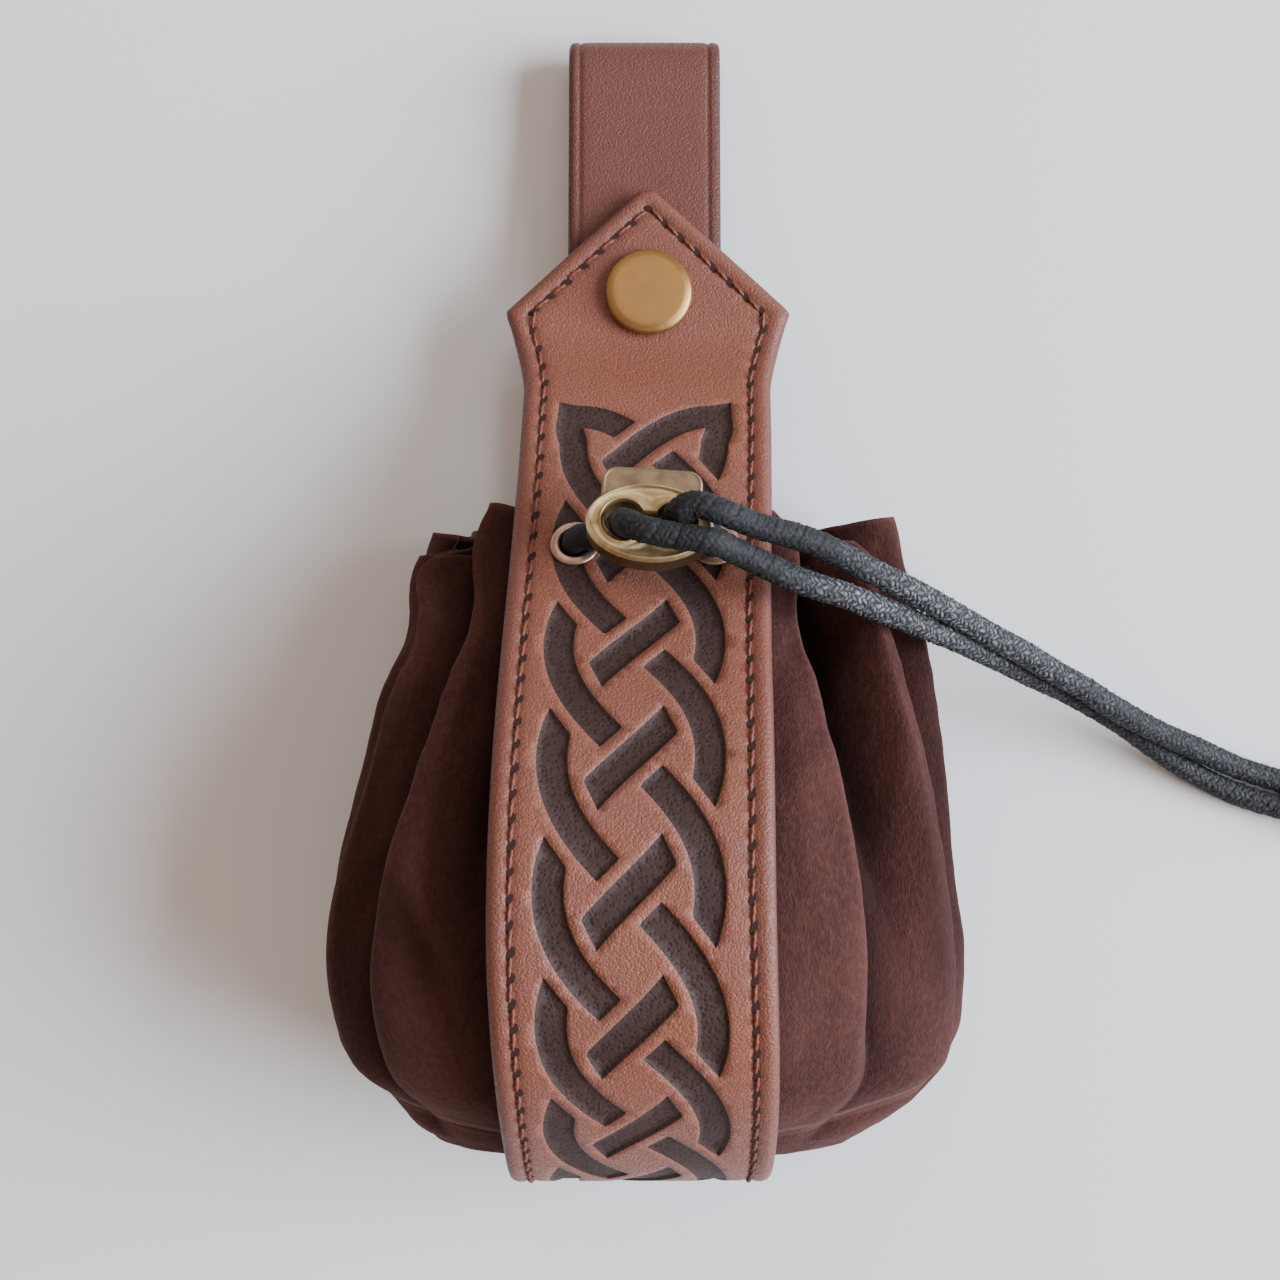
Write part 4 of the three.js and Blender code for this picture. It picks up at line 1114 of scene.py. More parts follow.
def plait_shapes():
    """Every visible piece of the braid, as (distance, across)."""
    last = PLAIT_CROSSINGS
    left_down = np.vstack([smooth(CORNER_SIDE, -1), strand(0, 1.25, 1)])
    left = np.vstack([strand(0, 0.3, 0)[::-1], smooth(CORNER_TOP, -1), left_down])
    first_bar = np.vstack([strand(0, 0.8, 2)[::-1], smooth(CORNER_TOP, 1)])
    right = np.vstack([first_bar, smooth(CORNER_SIDE, 1), strand(0, 0.8, -1)])
    # The left corner only meets the bar's start, which leaves a notch inside it
    bar_start = np.vstack([strand(0, 0.15, 2)[::-1], smooth(CORNER_TOP, 1)])
    closing = [
        band_shape(left, bar_start, bar(1), CORNER_TIP * np.array([1, -1])),
        band_shape(right, left_down, right_arc(0), CORNER_TIP),
    ]
    shapes = closing + [(last * PLAIT_STEP, 0) - shape for shape in closing]
    for k in range(1, last):
        shapes.append(band_shape(bar(k), right_arc(k - 1), left_arc(k - 1)))
    for k in range(last - 1):
        shapes.append(band_shape(left_arc(k), left_arc(k - 1) if k else left_down, bar(k + 2)))
        shapes.append(band_shape(right_arc(k), bar(k) if k else first_bar, right_arc(k + 1)))
    placed = []
    for shape in shapes:
        u, x = shape[:, 0] / PLAIT_STEP, shape[:, 1]
        s = np.interp(u, np.arange(len(crossing_at)), crossing_at)
        s = np.where(u < 0, crossing_at[0] + u * PLAIT_STEP, s)
        s = np.where(u > last, crossing_at[-1] + (u - last) * PLAIT_STEP, s)
        placed.append(np.column_stack([s, x + PLAIT_ACROSS]))
    return placed


# %% [markdown]
# A constrained Delaunay triangulation cuts the flat strap along every outline of the
# plait, with plain points between them so that it can bend. Then each point gets its
# height: the plait is pressed in, the seam sits in a groove, the rim is rounded.

# %% Strap mesh
PRESS_DEPTH = 0.42
PRESS_SLOPE = 0.22
# How high the strap's face is at a distance from its rim
MARGIN_AT = (0, 0.25, 0.6, 1.2, 1.9, 2.6, 3.2, 3.8, 4.6)
MARGIN_HEIGHT = (-0.62, -0.3, -0.06, 0.12, 0.13, -0.05, -0.34, -0.12, 0)
# The strap's side from its top edge round to the back: outward, height
SIDE_PROFILE = [(0.18, -0.95), (0.27, -1.35), (0.3, -1.7), (0.24, -2.1)]
SIDE_PROFILE += [(0.06, -2.5), (-0.3, -2.8), (-0.8, -2.97)]


def flat_mesh(loops, free):
    """Triangles over the first loop, cut along the other loops. Returns the points, the
    triangles, which loops each triangle is in, which loop each point is on, and where
    the first loop's points are."""
    points = np.vstack([*loops, free])
    starts = np.concatenate([[0], np.cumsum([len(loop) for loop in loops])])
    inputs = [list(range(starts[i], starts[i + 1])) for i in range(len(loops))]
    flat = [Vector(p) for p in points.tolist()]
    found, _, triangles, sources, _, inside = delaunay_2d_cdt(flat, [], inputs, 1, 1e-5, True)
    on_loop = np.full(len(found), -1)
    rim = np.zeros(len(loops[0]), int)
    for i, source in enumerate(sources):
        for j in source:
            if j < starts[-1]:
                on_loop[i] = np.searchsorted(starts, j, side="right") - 1
            if j < len(rim):
                rim[j] = i
    return np.array([tuple(p) for p in found]), triangles, inside, on_loop, rim


def in_order(shape):
    """The shape's points anticlockwise."""
    area = np.sum(shape[:, 0] * np.roll(shape[:, 1], -1) - shape[:, 1] * np.roll(shape[:, 0], -1))
    return shape if area > 0 else shape[::-1]


def thinned(shape, step, sharp=0.45):
    """Fewer points round a closed shape, its corners kept."""
    ways = unit(np.roll(shape, -4, axis=0) - shape)
    back = unit(shape - np.roll(shape, 4, axis=0))
    bends = np.arccos(np.clip((ways * back).sum(1), -1, 1))
    peak = (bends > sharp) & (bends >= np.roll(bends, 1)) & (bends > np.roll(bends, -1))
    corners = np.flatnonzero(peak)
    if len(corners) < 2:
        return spaced(shape, step, closed=True)
    parts = []
    for a, b in zip(corners, np.append(corners[1:], corners[0] + len(shape))):
        part = shape[np.arange(a, b + 1) % len(shape)]
        parts.append(spaced(part, step)[:-1] if b - a > 3 else part[:-1])
    return np.vstack(parts)


def circle(centre, radius, count):
    turns = turns_of(count)
    return np.column_stack([centre[0] + radius * np.cos(turns), centre[1] + radius * np.sin(turns)])


def lattice_of(first, second):
    """Every pair of a value from the first list and one from the second."""
    return np.stack(np.meshgrid(first, second, indexing="ij"), -1).reshape(-1, 2)


def within_strap(spots, margin):
    return spots[np.abs(spots[:, 1]) < strap_half_width(spots[:, 0]) - margin]


def apart_from(spots, path, distance):
    return spots[nearest_distance(spots, path)[0] > distance]


band_shapes = [in_order(shape) for shape in plait_shapes()]
band_tops = [thinned(shape, 0.7) for shape in band_shapes]
band_floors = [sideways(top, PRESS_SLOPE, closed=True) for top in band_tops]
holes = [circle(place, HOLE_RADIUS, 28) for place in eyelet_places]

loops = [in_order(outline), *band_tops, *band_floors, *holes]
bands = len(band_tops)
rings = [inset(amount, STITCH_PITCH / 4) for amount in MARGIN_AT[1:]]
lattice = lattice_of(np.arange(3, STRAP_LENGTH - 5, 1.3), np.arange(-22, 22.1, 1.45))
lattice = apart_from(within_strap(lattice, 4.6), outline_fine, 5.2)
lattice = apart_from(lattice, np.vstack([*band_tops, *band_floors, *holes]), 0.5)
flat, triangles, inside, on_loop, rim = flat_mesh(loops, np.vstack([*rings, lattice]))
print("strap:", len(flat), "points,", len(triangles), "triangles")

# Which triangles are floor, wall or hole, and which points lie on the floor
kinds = np.zeros(len(triangles), int)
for i, found in enumerate(inside):
    if any(bands < j <= 2 * bands for j in found):
        kinds[i] = 2
    elif any(0 < j <= bands for j in found):
        kinds[i] = 1
    if any(j > 2 * bands for j in found):
        kinds[i] = 3
corners = np.array(triangles)
floor_count = np.zeros(len(flat), int)
all_count = np.zeros(len(flat), int)
for k in range(3):
    np.add.at(all_count, corners[:, k], 1)
    np.add.at(floor_count, corners[kinds == 2][:, k], 1)
on_floor = (floor_count == all_count) | ((on_loop > bands) & (on_loop <= 2 * bands))

rim_far, _ = nearest_distance(flat, outline_fine)
seam_far, seam_index = nearest_distance(flat, stitch_line)
seam_turn = 2 * np.pi * seam_index * STITCH_LINE_STEP / STITCH_PITCH
height = np.interp(rim_far, MARGIN_AT, MARGIN_HEIGHT)
height -= 0.16 * np.exp(-((seam_far / 0.9) ** 2)) * (1 + np.cos(seam_turn)) / 2
height = np.where(on_floor, height - PRESS_DEPTH, height)
height += 0.12 * wobble(np.column_stack([flat, 0 * rim_far]), 16, 8)

top_points, _, _ = on_ribbon(strap_line, flat[:, 0], flat[:, 1], height)
keep = (kinds < 3) & np.array([0 in found for found in inside])
top_faces = [list(t) for t, k in zip(triangles, keep) if k]
top_kinds = kinds[keep]

# The sides, ring by ring, and the back
strap_outline = loops[0]
side_points = []
for outward, level in SIDE_PROFILE:
    ring = sideways(strap_outline, -outward, closed=True)
    side_points.append(on_ribbon(strap_line, ring[:, 0], ring[:, 1], np.full(len(ring), level))[0])
count = len(strap_outline)
first_side = len(top_points)
back_loop = sideways(strap_outline, -SIDE_PROFILE[-1][0], closed=True)
back_grid = within_strap(lattice_of(np.arange(4, STRAP_LENGTH - 4, 2.5), np.arange(-16, 16.1, 8)), 2.5)
back_flat, back_triangles, back_inside, _, back_rim = flat_mesh([back_loop], back_grid)
back_triangles = [triangle for triangle, loops_round in zip(back_triangles, back_inside) if loops_round]
back_level = np.full(len(back_flat), SIDE_PROFILE[-1][1])
back_points, _, _ = on_ribbon(strap_line, back_flat[:, 0], back_flat[:, 1], back_level)
first_back = first_side + count * len(side_points)
rings_of = [rim] + [first_side + k * count + np.arange(count) for k in range(len(side_points) - 1)]
rings_of.append(first_back + back_rim)
side_faces = []
for upper, lower in zip(rings_of[:-1], rings_of[1:]):
    side_faces += np.stack([lower, np.roll(lower, -1), np.roll(upper, -1), upper], -1).tolist()
back_faces = [[first_back + i for i in reversed(t)] for t in back_triangles]
strap_all = np.vstack([top_points, *side_points, back_points])
strap_all[:, 2] = np.maximum(strap_all[:, 2], ABOVE_FLOOR)

strap_faces = top_faces + side_faces + back_faces
face_kinds = np.zeros(len(strap_faces), int)
face_kinds[: len(top_faces)] = np.minimum(top_kinds, 1)
strap = new_object("strap", strap_all, strap_faces, [strap_leather, plait_leather], face_kinds)
painted = np.interp(rim_far, [0, 0.35, 2.2, 3.2], [1, 0.38, 0.3, 0])
# The layer also darkens the strap towards the flap's tip
painted = np.maximum(painted, 0.34 * (1 - ease(8, 42, flat[:, 0])))
side_painted = np.repeat([1.0] * (len(side_points) - 1) + [0.7], count)
add_layer(strap, "edge", np.concatenate([painted, side_painted, np.full(len(back_points), 0.6)]))
stand_for(strap, ["wrap_strap"])

# %% [markdown]
# ## Stitches
#
# One stitch is modelled and a small Geometry Nodes group repeats it: it puts a copy on
# every point, turned along the point's `along` and `out` directions.


# %% Repeating a piece
def repeater():
    group = bpy.data.node_groups.new("repeat", "GeometryNodeTree")
    group.interface.new_socket("Geometry", in_out="INPUT", socket_type="NodeSocketGeometry")
    group.interface.new_socket("Piece", in_out="INPUT", socket_type="NodeSocketObject")
    group.interface.new_socket("Material", in_out="INPUT", socket_type="NodeSocketMaterial")
    group.interface.new_socket("Geometry", in_out="OUTPUT", socket_type="NodeSocketGeometry")

    def add(kind, **settings):
        made = group.nodes.new(kind)
        for key, value in settings.items():
            setattr(made, key, value)
        return made

    def named(name):
        made = add("GeometryNodeInputNamedAttribute", data_type="FLOAT_VECTOR")
        made.inputs["Name"].default_value = name
        return made.outputs["Attribute"]

    link = group.links.new
    entry = add("NodeGroupInput")
    info = add("GeometryNodeObjectInfo")
    link(entry.outputs["Piece"], info.inputs["Object"])
    turn = add("FunctionNodeAlignRotationToVector", axis="X")
    link(named("along"), turn.inputs["Vector"])
    lift = add("FunctionNodeAlignRotationToVector", axis="Z", pivot_axis="X")
    link(turn.outputs[0], lift.inputs["Rotation"])
    link(named("out"), lift.inputs["Vector"])
    copies = add("GeometryNodeInstanceOnPoints")
    link(entry.outputs["Geometry"], copies.inputs["Points"])
    link(info.outputs["Geometry"], copies.inputs["Instance"])
    link(lift.outputs[0], copies.inputs["Rotation"])
    real = add("GeometryNodeRealizeInstances")
    link(copies.outputs[0], real.inputs[0])
    finish = add("GeometryNodeSetMaterial")
    link(real.outputs[0], finish.inputs["Geometry"])
    link(entry.outputs["Material"], finish.inputs["Material"])
    link(finish.outputs[0], add("NodeGroupOutput").inputs[0])
    return group


repeat_group = repeater()


def repeated(name, points, along, out, piece, material):
    """A mesh with a copy of piece on every point."""
    carrier = new_object(name + "_points", points, [], [])
    for key, vectors in (("along", along), ("out", out)):
        layer = carrier.data.attributes.new(key, "FLOAT_VECTOR", "POINT")
        layer.data.foreach_set("vector", np.asarray(vectors, np.float32).ravel())
    modifier = carrier.modifiers.new("repeat", "NODES")
    modifier.node_group = repeat_group
    for socket in repeat_group.interface.items_tree:
        if socket.name == "Piece":
            modifier[socket.identifier] = piece
        if socket.name == "Material":
            modifier[socket.identifier] = material
    bpy.context.view_layer.update()
    evaluated = carrier.evaluated_get(bpy.context.evaluated_depsgraph_get())
    mesh = bpy.data.meshes.new_from_object(evaluated)
    mesh.name = name
    for used in (carrier, piece):
        bpy.data.objects.remove(used)
    return smooth_object(name, mesh)


# %% Stitches and their holes
THREAD_RADIUS, THREAD_TWIST = 0.3, 1.1
STITCH_HALF, STITCH_SLANT = 1.35, 0.11

run = np.linspace(-1, 1, 15)
arch = 0.5 * (1 - np.abs(run) ** 3) - 0.2
stitch_path = np.column_stack([run * STITCH_HALF, -run * STITCH_HALF * STITCH_SLANT, arch])


def twisted(far, angle):
    return THREAD_RADIUS * (0.9 + 0.2 * np.cos(2 * angle - 2 * np.pi * far / THREAD_TWIST))


def strap_height(spots):
    """The strap's height above its plain face at the flat point nearest to each spot."""
    _, nearest = nearest_distance(spots, flat)
    return height[nearest]


stitch_spots = spaced(stitch_line, STITCH_PITCH)
middles = (stitch_spots[1:] + stitch_spots[:-1]) / 2
jitter = np.random.default_rng(5).normal(0, 0.06, middles.shape)
stitch_at, _, stitch_out = on_ribbon(strap_line, *(middles + jitter).T, strap_height(middles) + 0.1)
ahead, _, _ = on_ribbon(strap_line, *stitch_spots[1:].T, strap_height(middles))
behind, _, _ = on_ribbon(strap_line, *stitch_spots[:-1].T, strap_height(middles))
stitch_piece = new_object("stitch_piece", *tube(stitch_path, twisted, 8), [thread])
stitches = repeated("stitches", stitch_at, unit(ahead - behind), stitch_out, stitch_piece, thread)
stand_for(stitches, [])

HOLE_LENGTH, HOLE_WIDTH, HOLE_RISE, HOLE_SLANT = 2.0, 1.2, 0.34, 0.5
# A flat dark disc on each stitch hole paints the shade inside it
disc = circle((0, 0), 0.5, 12) * (HOLE_LENGTH, HOLE_WIDTH)
disc = np.column_stack([disc[:, 0], disc[:, 1] - HOLE_SLANT * disc[:, 0], np.zeros(12)])
shifted = stitch_spots + np.random.default_rng(9).normal(0, 0.09, stitch_spots.shape)
hole_at, _, hole_out = on_ribbon(strap_line, *shifted.T, strap_height(stitch_spots) + HOLE_RISE)
hole_piece = new_object("hole_piece", disc, [list(range(12))], [hole_shade])
hole_along = np.gradient(hole_at, axis=0)
stitch_holes = repeated("stitch_holes", hole_at, unit(hole_along), hole_out, hole_piece, hole_shade)
stand_for(stitch_holes, [])

# %% [markdown]
# Worn cotton is fuzzy. A few hundred short hairs stand on the free strands, each on a
# random point of the braid.

# %% Fuzz on the cord
HAIRS_PER_STRAND = 900
HAIR_RADIUS = 0.035
HAIR_LINE = [(0, 0, -0.1), (0.3, 0, 0.16), (0.8, 0.1, 0.3), (1.3, 0.3, 0.42)]


def hair_radius(distance, angle):
    return HAIR_RADIUS * (1.15 - distance / 1.6) + 0 * angle


def fuzz(cord, seed):
    """Points, directions and normals for hairs on a cord."""
    picked = np.random.default_rng(seed).integers(0, len(cord.data.vertices), HAIRS_PER_STRAND)
    places, normals = (np.empty(len(cord.data.vertices) * 3, np.float32) for _ in range(2))
    cord.data.vertices.foreach_get("co", places)
    cord.data.vertices.foreach_get("normal", normals)
    places, normals = places.reshape(-1, 3)[picked] / MM, normals.reshape(-1, 3)[picked]
    ways = np.random.default_rng(seed + 1).normal(size=normals.shape)
    ways = unit(ways - normals * (ways * normals).sum(-1, keepdims=True))
    above = places[:, 2] > 0.8
    return places[above], ways[above], normals[above]


hair_sets = [fuzz(upper_cord, 11), fuzz(lower_cord, 21)]
hair_points, hair_ways, hair_normals = (np.vstack(parts) for parts in zip(*hair_sets))
hair_piece = new_object("hair_piece", *tube(np.array(HAIR_LINE), hair_radius, 3), [black_cord])
cord_fuzz = repeated("cord_fuzz", hair_points, hair_ways, hair_normals, hair_piece, black_cord)
stand_for(cord_fuzz, [])

# %% [markdown]
# ## The belt loop
#
# The narrower strip lies under the flap, folds over at the top and comes back under the
# bag. Its cross-section has rounded edges and a pressed line along each side.

# %% Belt loop
LOOP_WIDTH, LOOP_THICKNESS, LOOP_ACROSS = 27, 2.5, 0.15
LOOP_BEND_RADIUS, LOOP_FRONT_END = 5.5, 30.5
LOOP_CREASE_AT, LOOP_CREASE_DEPTH = 2.1, 0.3
ON_STRAP = STRAP_THICKNESS + 0.3


def loop_line():
    leaves = STRAP_BACK_REACH + 1
    lands = leaves + 3 * ON_STRAP
    bend_y = LOOP_REACH - LOOP_BEND_RADIUS
    down_at = (1.5, 19.5, *np.linspace(leaves, lands, 6))
    back = [(y, ON_STRAP * (1 - ease(leaves, lands, y))) for y in down_at]
    back += [(y, 0.0) for y in np.linspace(lands + 4, bend_y - 6, 4)]
    turns = np.radians(np.linspace(-90, 90, 7))
    bend = [(bend_y + LOOP_BEND_RADIUS * math.cos(t), LOOP_BEND_RADIUS * (1 + math.sin(t))) for t in turns]
    outs, heights = zip(*FLAP_LINE[::-1])
    front_at = mix(LOOP_FRONT_END, FLAP_REACH, np.linspace(1, 0, 7))
    front = [(y, np.interp(y / FLAP_REACH, outs, heights) * mouth_height - STAND_OFF) for y in front_at]
    fold = (mix(bend_y, FLAP_REACH, 0.45), mix(2 * LOOP_BEND_RADIUS, front[0][1], 0.3))
    return Line([(LOOP_ACROSS, MOUTH_Y + y, z) for y, z in (*back, *bend, fold, *front)])


def loop_section():
    """The strip's cross-section as (across, height) from its left edge over the top."""
    rim = [(0.0, -1.3), (0.03, -0.85), (0.18, -0.45), (0.45, -0.18), (0.9, -0.03), (1.4, 0.0)]
    rim += [(1.75, -0.06), (LOOP_CREASE_AT, -LOOP_CREASE_DEPTH), (2.45, -0.06), (2.9, 0.0), (4.0, 0.03)]
    under = [(1.2, -LOOP_THICKNESS), (0.55, -LOOP_THICKNESS + 0.15), (0.12, -LOOP_THICKNESS + 0.6)]
    half = LOOP_WIDTH / 2
    left = [(x - half, z) for x, z in rim]
    middle = [(x, 0.04) for x in np.linspace(-8, 8, 9)]
    right = [(half - x, z) for x, z in rim[::-1]]
    below = [(half - x, z) for x, z in under[::-1]]
    below += [(x, -LOOP_THICKNESS) for x in np.linspace(10, -10, 6)]
    below += [(x - half, z) for x, z in under]
    return np.array(left + middle + right + below)


belt_line = loop_line()
section = loop_section()
at_end = np.array([0.02, 0.3, 0.9, 1.8, 3])
at_middle = np.linspace(4, belt_line.length - 4, 190)
loop_s = np.concatenate([at_end, at_middle, belt_line.length - at_end[::-1]])
near_end = np.minimum(loop_s, belt_line.length - loop_s)
end_width = 1 - 3 / LOOP_WIDTH * np.maximum(0, 1 - near_end / 3) ** 2
end_thin = 1 - 0.25 * np.maximum(0, 1 - near_end / 0.9) ** 2
rows = []
for s, wide, thin in zip(loop_s, end_width, end_thin):
    height = -LOOP_THICKNESS / 2 + (section[:, 1] + LOOP_THICKNESS / 2) * thin
    ring, _, _ = on_ribbon(belt_line, np.full(len(section), s), section[:, 0] * wide, height)
    rows.append(ring)
loop_points = np.array(rows)
soft = 0.1 * wobble(loop_points, 14, 3).reshape(loop_points.shape[:2])
loop_points[..., 2] = np.maximum(loop_points[..., 2] + soft * (loop_points[..., 2] > 3), ABOVE_FLOOR)
loop_faces = flipped(capped_faces(len(rows), len(section)))
belt_loop = new_object("loop", loop_points.reshape(-1, 3), loop_faces, [loop_leather])
out = np.abs(section[:, 0]) - LOOP_WIDTH / 2
crease = np.exp(-(((out + LOOP_CREASE_AT) / 0.4) ** 2)) * (section[:, 1] > -1)
edge_paint = np.maximum(np.interp(out, [-1.4, -0.2], [0, 1]), 0.55 * crease)
add_layer(belt_loop, "edge", np.tile(edge_paint, len(rows)))
stand_for(belt_loop, ["belt_loop"])

# %% [markdown]
# ## The brass
#
# The snap and the eyelets are turned: a profile of radius and height, spun round. The
# cord lock is drawn as rings between its oval and its figure-of-eight hole, so that the
# height of its face can follow how far each point is from either edge.

# %% Snap cap and eyelets
TURNED_SIDES = 96


def arc_points(centre, radius, start, end, count):
    turns = np.radians(np.linspace(start, end, count))
    return [(centre[0] + radius * math.cos(t), centre[1] + radius * math.sin(t)) for t in turns]


def turned(name, profile, seat, material, faces_of):
    """Spins a profile of (radius, height) round the seat's axis."""
    profile = np.array(profile, float)
    flat = profile[:, None, :1] * circle((0, 0), 1, TURNED_SIDES)[None]
    points = np.concatenate([flat, np.broadcast_to(profile[:, None, 1:], (*flat.shape[:2], 1))], -1)
    faces = faces_of(len(profile), TURNED_SIDES)
    return new_object(name, seat.put(points.reshape(-1, 3)), faces, [material])


SNAP_RADIUS, SNAP_BASE, SNAP_HEIGHT = 7.5, 0.3, 2.2
snap_top = SNAP_BASE + SNAP_HEIGHT
snap_profile = [(SNAP_RADIUS - 0.9, SNAP_BASE), (SNAP_RADIUS - 0.35, SNAP_BASE + 0.05)]
snap_profile += arc_points((SNAP_RADIUS - 0.9, SNAP_BASE + 0.95), 0.9, -50, 62, 10)
for inward, down in ((0.75, 0.38), (1.1, 0.22), (1.6, 0.12)):
    snap_profile.append((SNAP_RADIUS - inward, snap_top - down))
snap_profile += [(r, snap_top - 0.12 * (r / 6) ** 2) for r in (5, 4, 3, 2, 1, 0.3, 0.05)]
cap = turned("cap", snap_profile, snap_seat, snap_brass, capped_faces)
stand_for(cap, ["snap_cap"])

EYELET_HOLE, EYELET_FLANGE, EYELET_BARREL, EYELET_LIP = 2.45, 4.0, 2.75, 3.8
eyelet_profile = [(EYELET_HOLE, -3.6), (EYELET_HOLE + 0.3, -3.8), (EYELET_LIP - 0.2, -3.8)]
eyelet_profile += [(EYELET_LIP, -3.5), (EYELET_LIP - 0.1, -3.25), (EYELET_BARREL, -3.2)]
eyelet_profile += [(EYELET_BARREL, 0.2), (EYELET_FLANGE - 0.15, 0.2)]
eyelet_profile += arc_points((EYELET_FLANGE - 0.3, 0.48), 0.3, -30, 60, 6)
eyelet_profile += [(3.5, 0.93), (3.2, 1.05), (2.95, FLANGE_TOP), (2.7, 1.05)]
eyelet_profile += arc_points((EYELET_HOLE + 0.35, 0.6), 0.35, 120, 180, 5) + [(EYELET_HOLE, -1.0)]
for name, seat in zip(("left", "right"), eyelet_seats):
    eyelet = turned(f"eyelet_{name}_ring", eyelet_profile, seat, eyelet_brass, ring_faces)
    stand_for(eyelet, [f"eyelet_{name}"])

# %% Cord lock
LOCK_LENGTH, LOCK_HEIGHT, LOCK_HOLE_RADIUS, LOCK_WAIST = 19.6, 12.6, 3.15, 2.6
LOCK_WALL, LOCK_PLATE, PLAY = 0.9, 1.2, 0.3
PLUNGER_HALF, PLUNGER_STAND_OUT, PLUNGER_CORNER, PLUNGER_WALL = 7.8, 2.9, 2.3, 0.8
PLUNGER_TRAVEL = 1.5
SLOT_HALF_WIDTH, SLOT_HALF_HEIGHT = LOCK_LENGTH / 2 - LOCK_WALL - 0.1, LOCK_HEIGHT / 2 - LOCK_WALL
SLOT_THICKNESS = LOCK_THICKNESS - 2 * LOCK_PLATE
SHARP_ANGLE = math.radians(50)


def ellipse(half_width, half_height, start, end, count):
    turns = np.radians(np.linspace(start, end, count))
    return np.column_stack([half_width * np.cos(turns), half_height * np.sin(turns)])


def figure_eight():
    """The two holes and the waist between them, anticlockwise from the right."""
    meet = math.degrees(math.asin(LOCK_WAIST / 2 / LOCK_HOLE_RADIUS))
    right = ellipse(LOCK_HOLE_RADIUS, LOCK_HOLE_RADIUS, meet - 180, 180 - meet, 80) + (hole, 0)
    left = ellipse(LOCK_HOLE_RADIUS, LOCK_HOLE_RADIUS, meet, 360 - meet, 80) - (hole, 0)
    return np.vstack([right, left])


def rounded_plate(half, top, corner, bottom):
    """A plate with two round corners at the top and an arc below, anticlockwise."""
    right = ellipse(corner, corner, 0, 90, 12) + (half - corner, top - corner)
    left = ellipse(corner, corner, 90, 180, 12) + (corner - half, top - corner)
    return np.vstack([right, left, ellipse(half, bottom, 180, 360, 40)])


def matched(inner, outer, count):
    """Both loops with the same number of points, that lie in the same direction."""
    inner, outer = spaced(inner, 0.04, closed=True), spaced(outer, 0.04, closed=True)
    inner = np.roll(inner, -int(np.argmax(inner[:, 0] - 10 * np.abs(inner[:, 1]))), axis=0)
    inner = inner[np.round(np.linspace(0, len(inner), count, endpoint=False)).astype(int)]
    outer_turn = np.arctan2(outer[:, 1], outer[:, 0])
    turn = np.maximum.accumulate(np.unwrap(np.arctan2(inner[:, 1] * 1.5, inner[:, 0])))
    even = np.linspace(turn[0], turn[0] + 2 * np.pi, count, endpoint=False)
    turn = np.mod(mix(turn, even, 0.35) + np.pi, 2 * np.pi) - np.pi
    nearest = np.abs(np.angle(np.exp(1j * (turn[:, None] - outer_turn[None, :])))).argmin(1)
    return inner, outer[nearest]


def ring_solid(name, inner, outer, face_rows, face_height, back_height, round_by, material):
    """A solid between two loops on the lock's seat, with a sculpted face, round outer
    edges and a flat back. The layer `edge` is high below its face, which the brass paints in shade."""
    rows = []
    for share in face_rows:
        flat = mix(inner, outer, share)
        rows.append(np.column_stack([flat, face_height(flat)]))
    edge = rows[-1][:, 2]
    out = unit(outer)
    for drop in (0.35, 1.0):
        rows.append(np.column_stack([outer, edge - drop * round_by]))
    for inward, rise in ((0.0, round_by), (round_by * 0.3, round_by * 0.3), (round_by, 0)):
        rows.append(np.column_stack([outer - out * inward, np.full(len(outer), back_height + rise)]))
    rows.append(np.column_stack([inner, np.full(len(inner), back_height)]))
    faces = flipped(ring_faces(len(rows), len(outer)))
    made = new_object(name, lock.put(np.vstack(rows)), faces, [material])
    # Painted shade on the sides and back, below the face
    below = np.arange(len(rows)) >= len(face_rows)
    add_layer(made, "edge", np.repeat(0.85 * below, len(outer)))
    return made


lock_oval = ellipse(LOCK_LENGTH / 2, LOCK_HEIGHT / 2, 0, 360, 400)[:-1]
lock_hole = figure_eight()
hole_ring, oval_ring = matched(lock_hole, lock_oval, 200)


def lock_face(flat):
    """A flat band with two raised rims, dished where the oval is wide."""
    to_oval, _ = nearest_distance(flat, spaced(lock_oval, 0.05, closed=True))
    to_hole, _ = nearest_distance(flat, spaced(lock_hole, 0.05, closed=True))
    top = LOCK_THICKNESS / 2 - 0.1
    rims = 0.28 * np.exp(-(((to_oval - 0.5) / 0.24) ** 2))
    rims += 0.3 * np.exp(-(((to_hole - 0.35) / 0.22) ** 2))
    fall = 0.7 * np.maximum(1 - to_oval / 0.5, 0) ** 2 + 0.4 * np.maximum(1 - to_hole / 0.3, 0) ** 2
    within = np.minimum(to_oval, to_hole)
    dish = 0.16 * ease(0.45, 0.9, within) + 0.42 * ease(0.9, 2.4, within)
    return top - 0.18 + rims - fall - dish


face_rows = np.concatenate([np.linspace(0, 0.3, 9), np.linspace(0.36, 0.7, 7), np.linspace(0.74, 1, 11)])
oval = ring_solid("oval", hole_ring, oval_ring, face_rows, lock_face, -LOCK_THICKNESS / 2, 0.7, lock_brass)

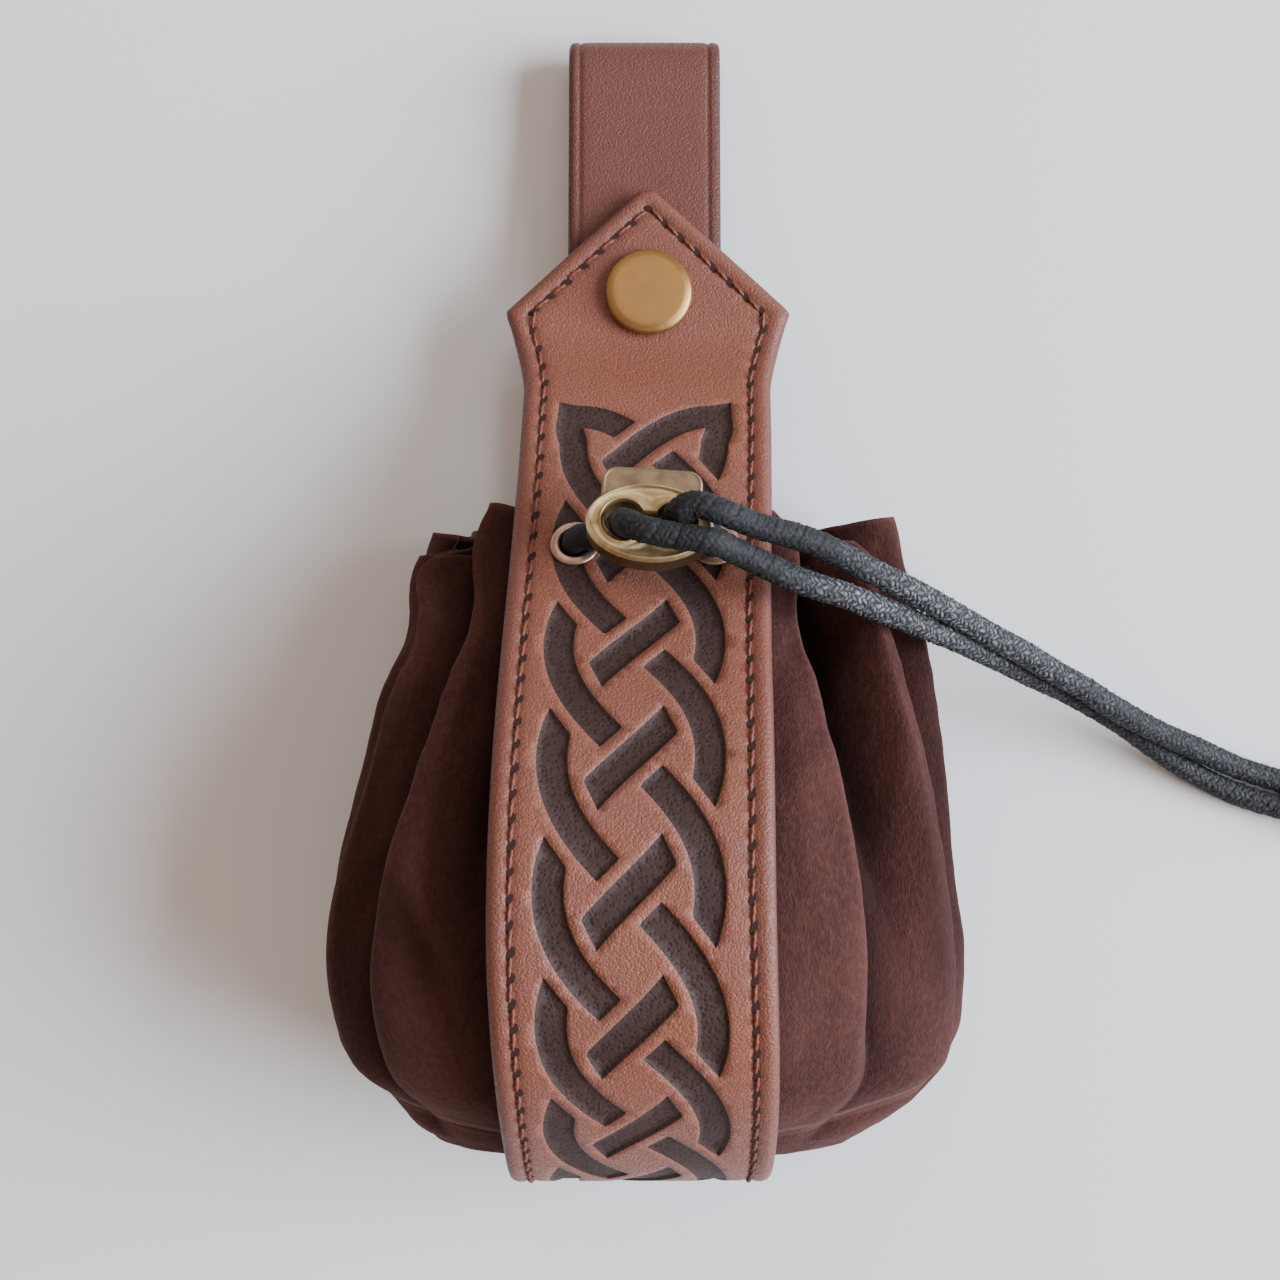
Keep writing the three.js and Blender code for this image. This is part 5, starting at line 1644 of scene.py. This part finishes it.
slot_outline = [(SLOT_HALF_WIDTH, LOCK_HEIGHT), (-SLOT_HALF_WIDTH, LOCK_HEIGHT)]
slot_outline = np.vstack([slot_outline, ellipse(SLOT_HALF_WIDTH, SLOT_HALF_HEIGHT, 180, 360, 40)])
slot_half = SLOT_THICKNESS / 2
slot_points = [(*point, level) for level in (-slot_half, slot_half) for point in slot_outline]
slot_faces = capped_faces(2, len(slot_outline))
slot_faces = slot_faces[-2:] + slot_faces[:-2]
slot_cutter = new_object("slot_cutter", lock.put(slot_points), slot_faces, [lock_brass])


def cut_with(thing, cutter):
    """Cuts one object with another and keeps the result as plain mesh."""
    modifier = thing.modifiers.new("cut", "BOOLEAN")
    modifier.object = cutter
    modifier.solver = "EXACT"
    evaluated = thing.evaluated_get(bpy.context.evaluated_depsgraph_get())
    mesh = bpy.data.meshes.new_from_object(evaluated)
    thing.modifiers.clear()
    thing.data = mesh
    bpy.data.objects.remove(cutter)
    mesh.polygons.foreach_set("use_smooth", np.full(len(mesh.polygons), True))
    mesh.set_sharp_from_angle(angle=SHARP_ANGLE)


cut_with(oval, slot_cutter)
stand_for(oval, ["lock_body"])

plunger_top = LOCK_HEIGHT / 2 + PLUNGER_STAND_OUT
plunger_bottom = SLOT_HALF_HEIGHT - PLUNGER_TRAVEL - PLAY
plunger_thickness = SLOT_THICKNESS - 2 * PLAY
window_half, window_top = PLUNGER_HALF - PLUNGER_WALL, LOCK_HOLE_RADIUS + PLUNGER_TRAVEL + PLAY
plate_loop = rounded_plate(PLUNGER_HALF, plunger_top, PLUNGER_CORNER, plunger_bottom)
window_loop = rounded_plate(window_half, window_top, 0.4, plunger_bottom - PLUNGER_WALL)


def plate_face(flat):
    """A flat plate with a thin raised rim."""
    to_edge, _ = nearest_distance(flat, spaced(plate_loop, 0.05, closed=True))
    rim = 0.12 * np.exp(-(((to_edge - 0.32) / 0.2) ** 2)) - 0.3 * np.maximum(1 - to_edge / 0.3, 0) ** 2
    return plunger_thickness / 2 - 0.12 + rim


window_ring, plate_ring = matched(window_loop, plate_loop, 180)
plate_rows = np.concatenate([[0, 0.1], np.linspace(0.25, 0.75, 8), np.linspace(0.78, 1, 12)])
back = -plunger_thickness / 2
plunger = ring_solid("plunger", window_ring, plate_ring, plate_rows, plate_face, back, 0.3, plunger_brass)
plunger.data.set_sharp_from_angle(angle=SHARP_ANGLE)
stand_for(plunger, ["lock_button"], body="lock_button")

# %% [markdown]
# ## Light and finish
#
# A large window at the right throws a broad soft shadow to the left. Its light is a
# little blue, and the room fills the shadow with a weaker, warmer light.

# %% Floor and light
FLOOR_HALF, FLOOR_DEPTH = 3000, 0.2
quarters = ((-1, -1), (1, -1), (1, 1), (-1, 1))
floor_corners = [(x * FLOOR_HALF, y * FLOOR_HALF, -FLOOR_DEPTH) for x, y in quarters]
floor = new_object("floor", floor_corners, [(0, 1, 2, 3)], [plain("floor", srgb(236, 235, 240), 0.8)])


def soft_light(name, place, size, power, color):
    data = bpy.data.lights.new(name, "AREA")
    data.size = size
    data.energy = power
    data.color = color
    lamp = bpy.data.objects.new(name, data)
    lamp.location = place
    lamp.rotation_euler = (Vector((0, 0, 0.02)) - Vector(place)).to_track_quat("-Z", "Y").to_euler()
    bpy.context.scene.collection.objects.link(lamp)


soft_light("window", (1.6, -0.1, 0.9), 1.4, 112, (0.8, 0.89, 1))
soft_light("ceiling", (-0.15, 0.7, 1.15), 1.2, 5, (1, 0.92, 0.88))

room = bpy.data.worlds.new("room")
room.use_nodes = True
room.node_tree.nodes["Background"].inputs["Color"].default_value = (1, 0.75, 0.54, 1)
room.node_tree.nodes["Background"].inputs["Strength"].default_value = 0.4
bpy.context.scene.world = room
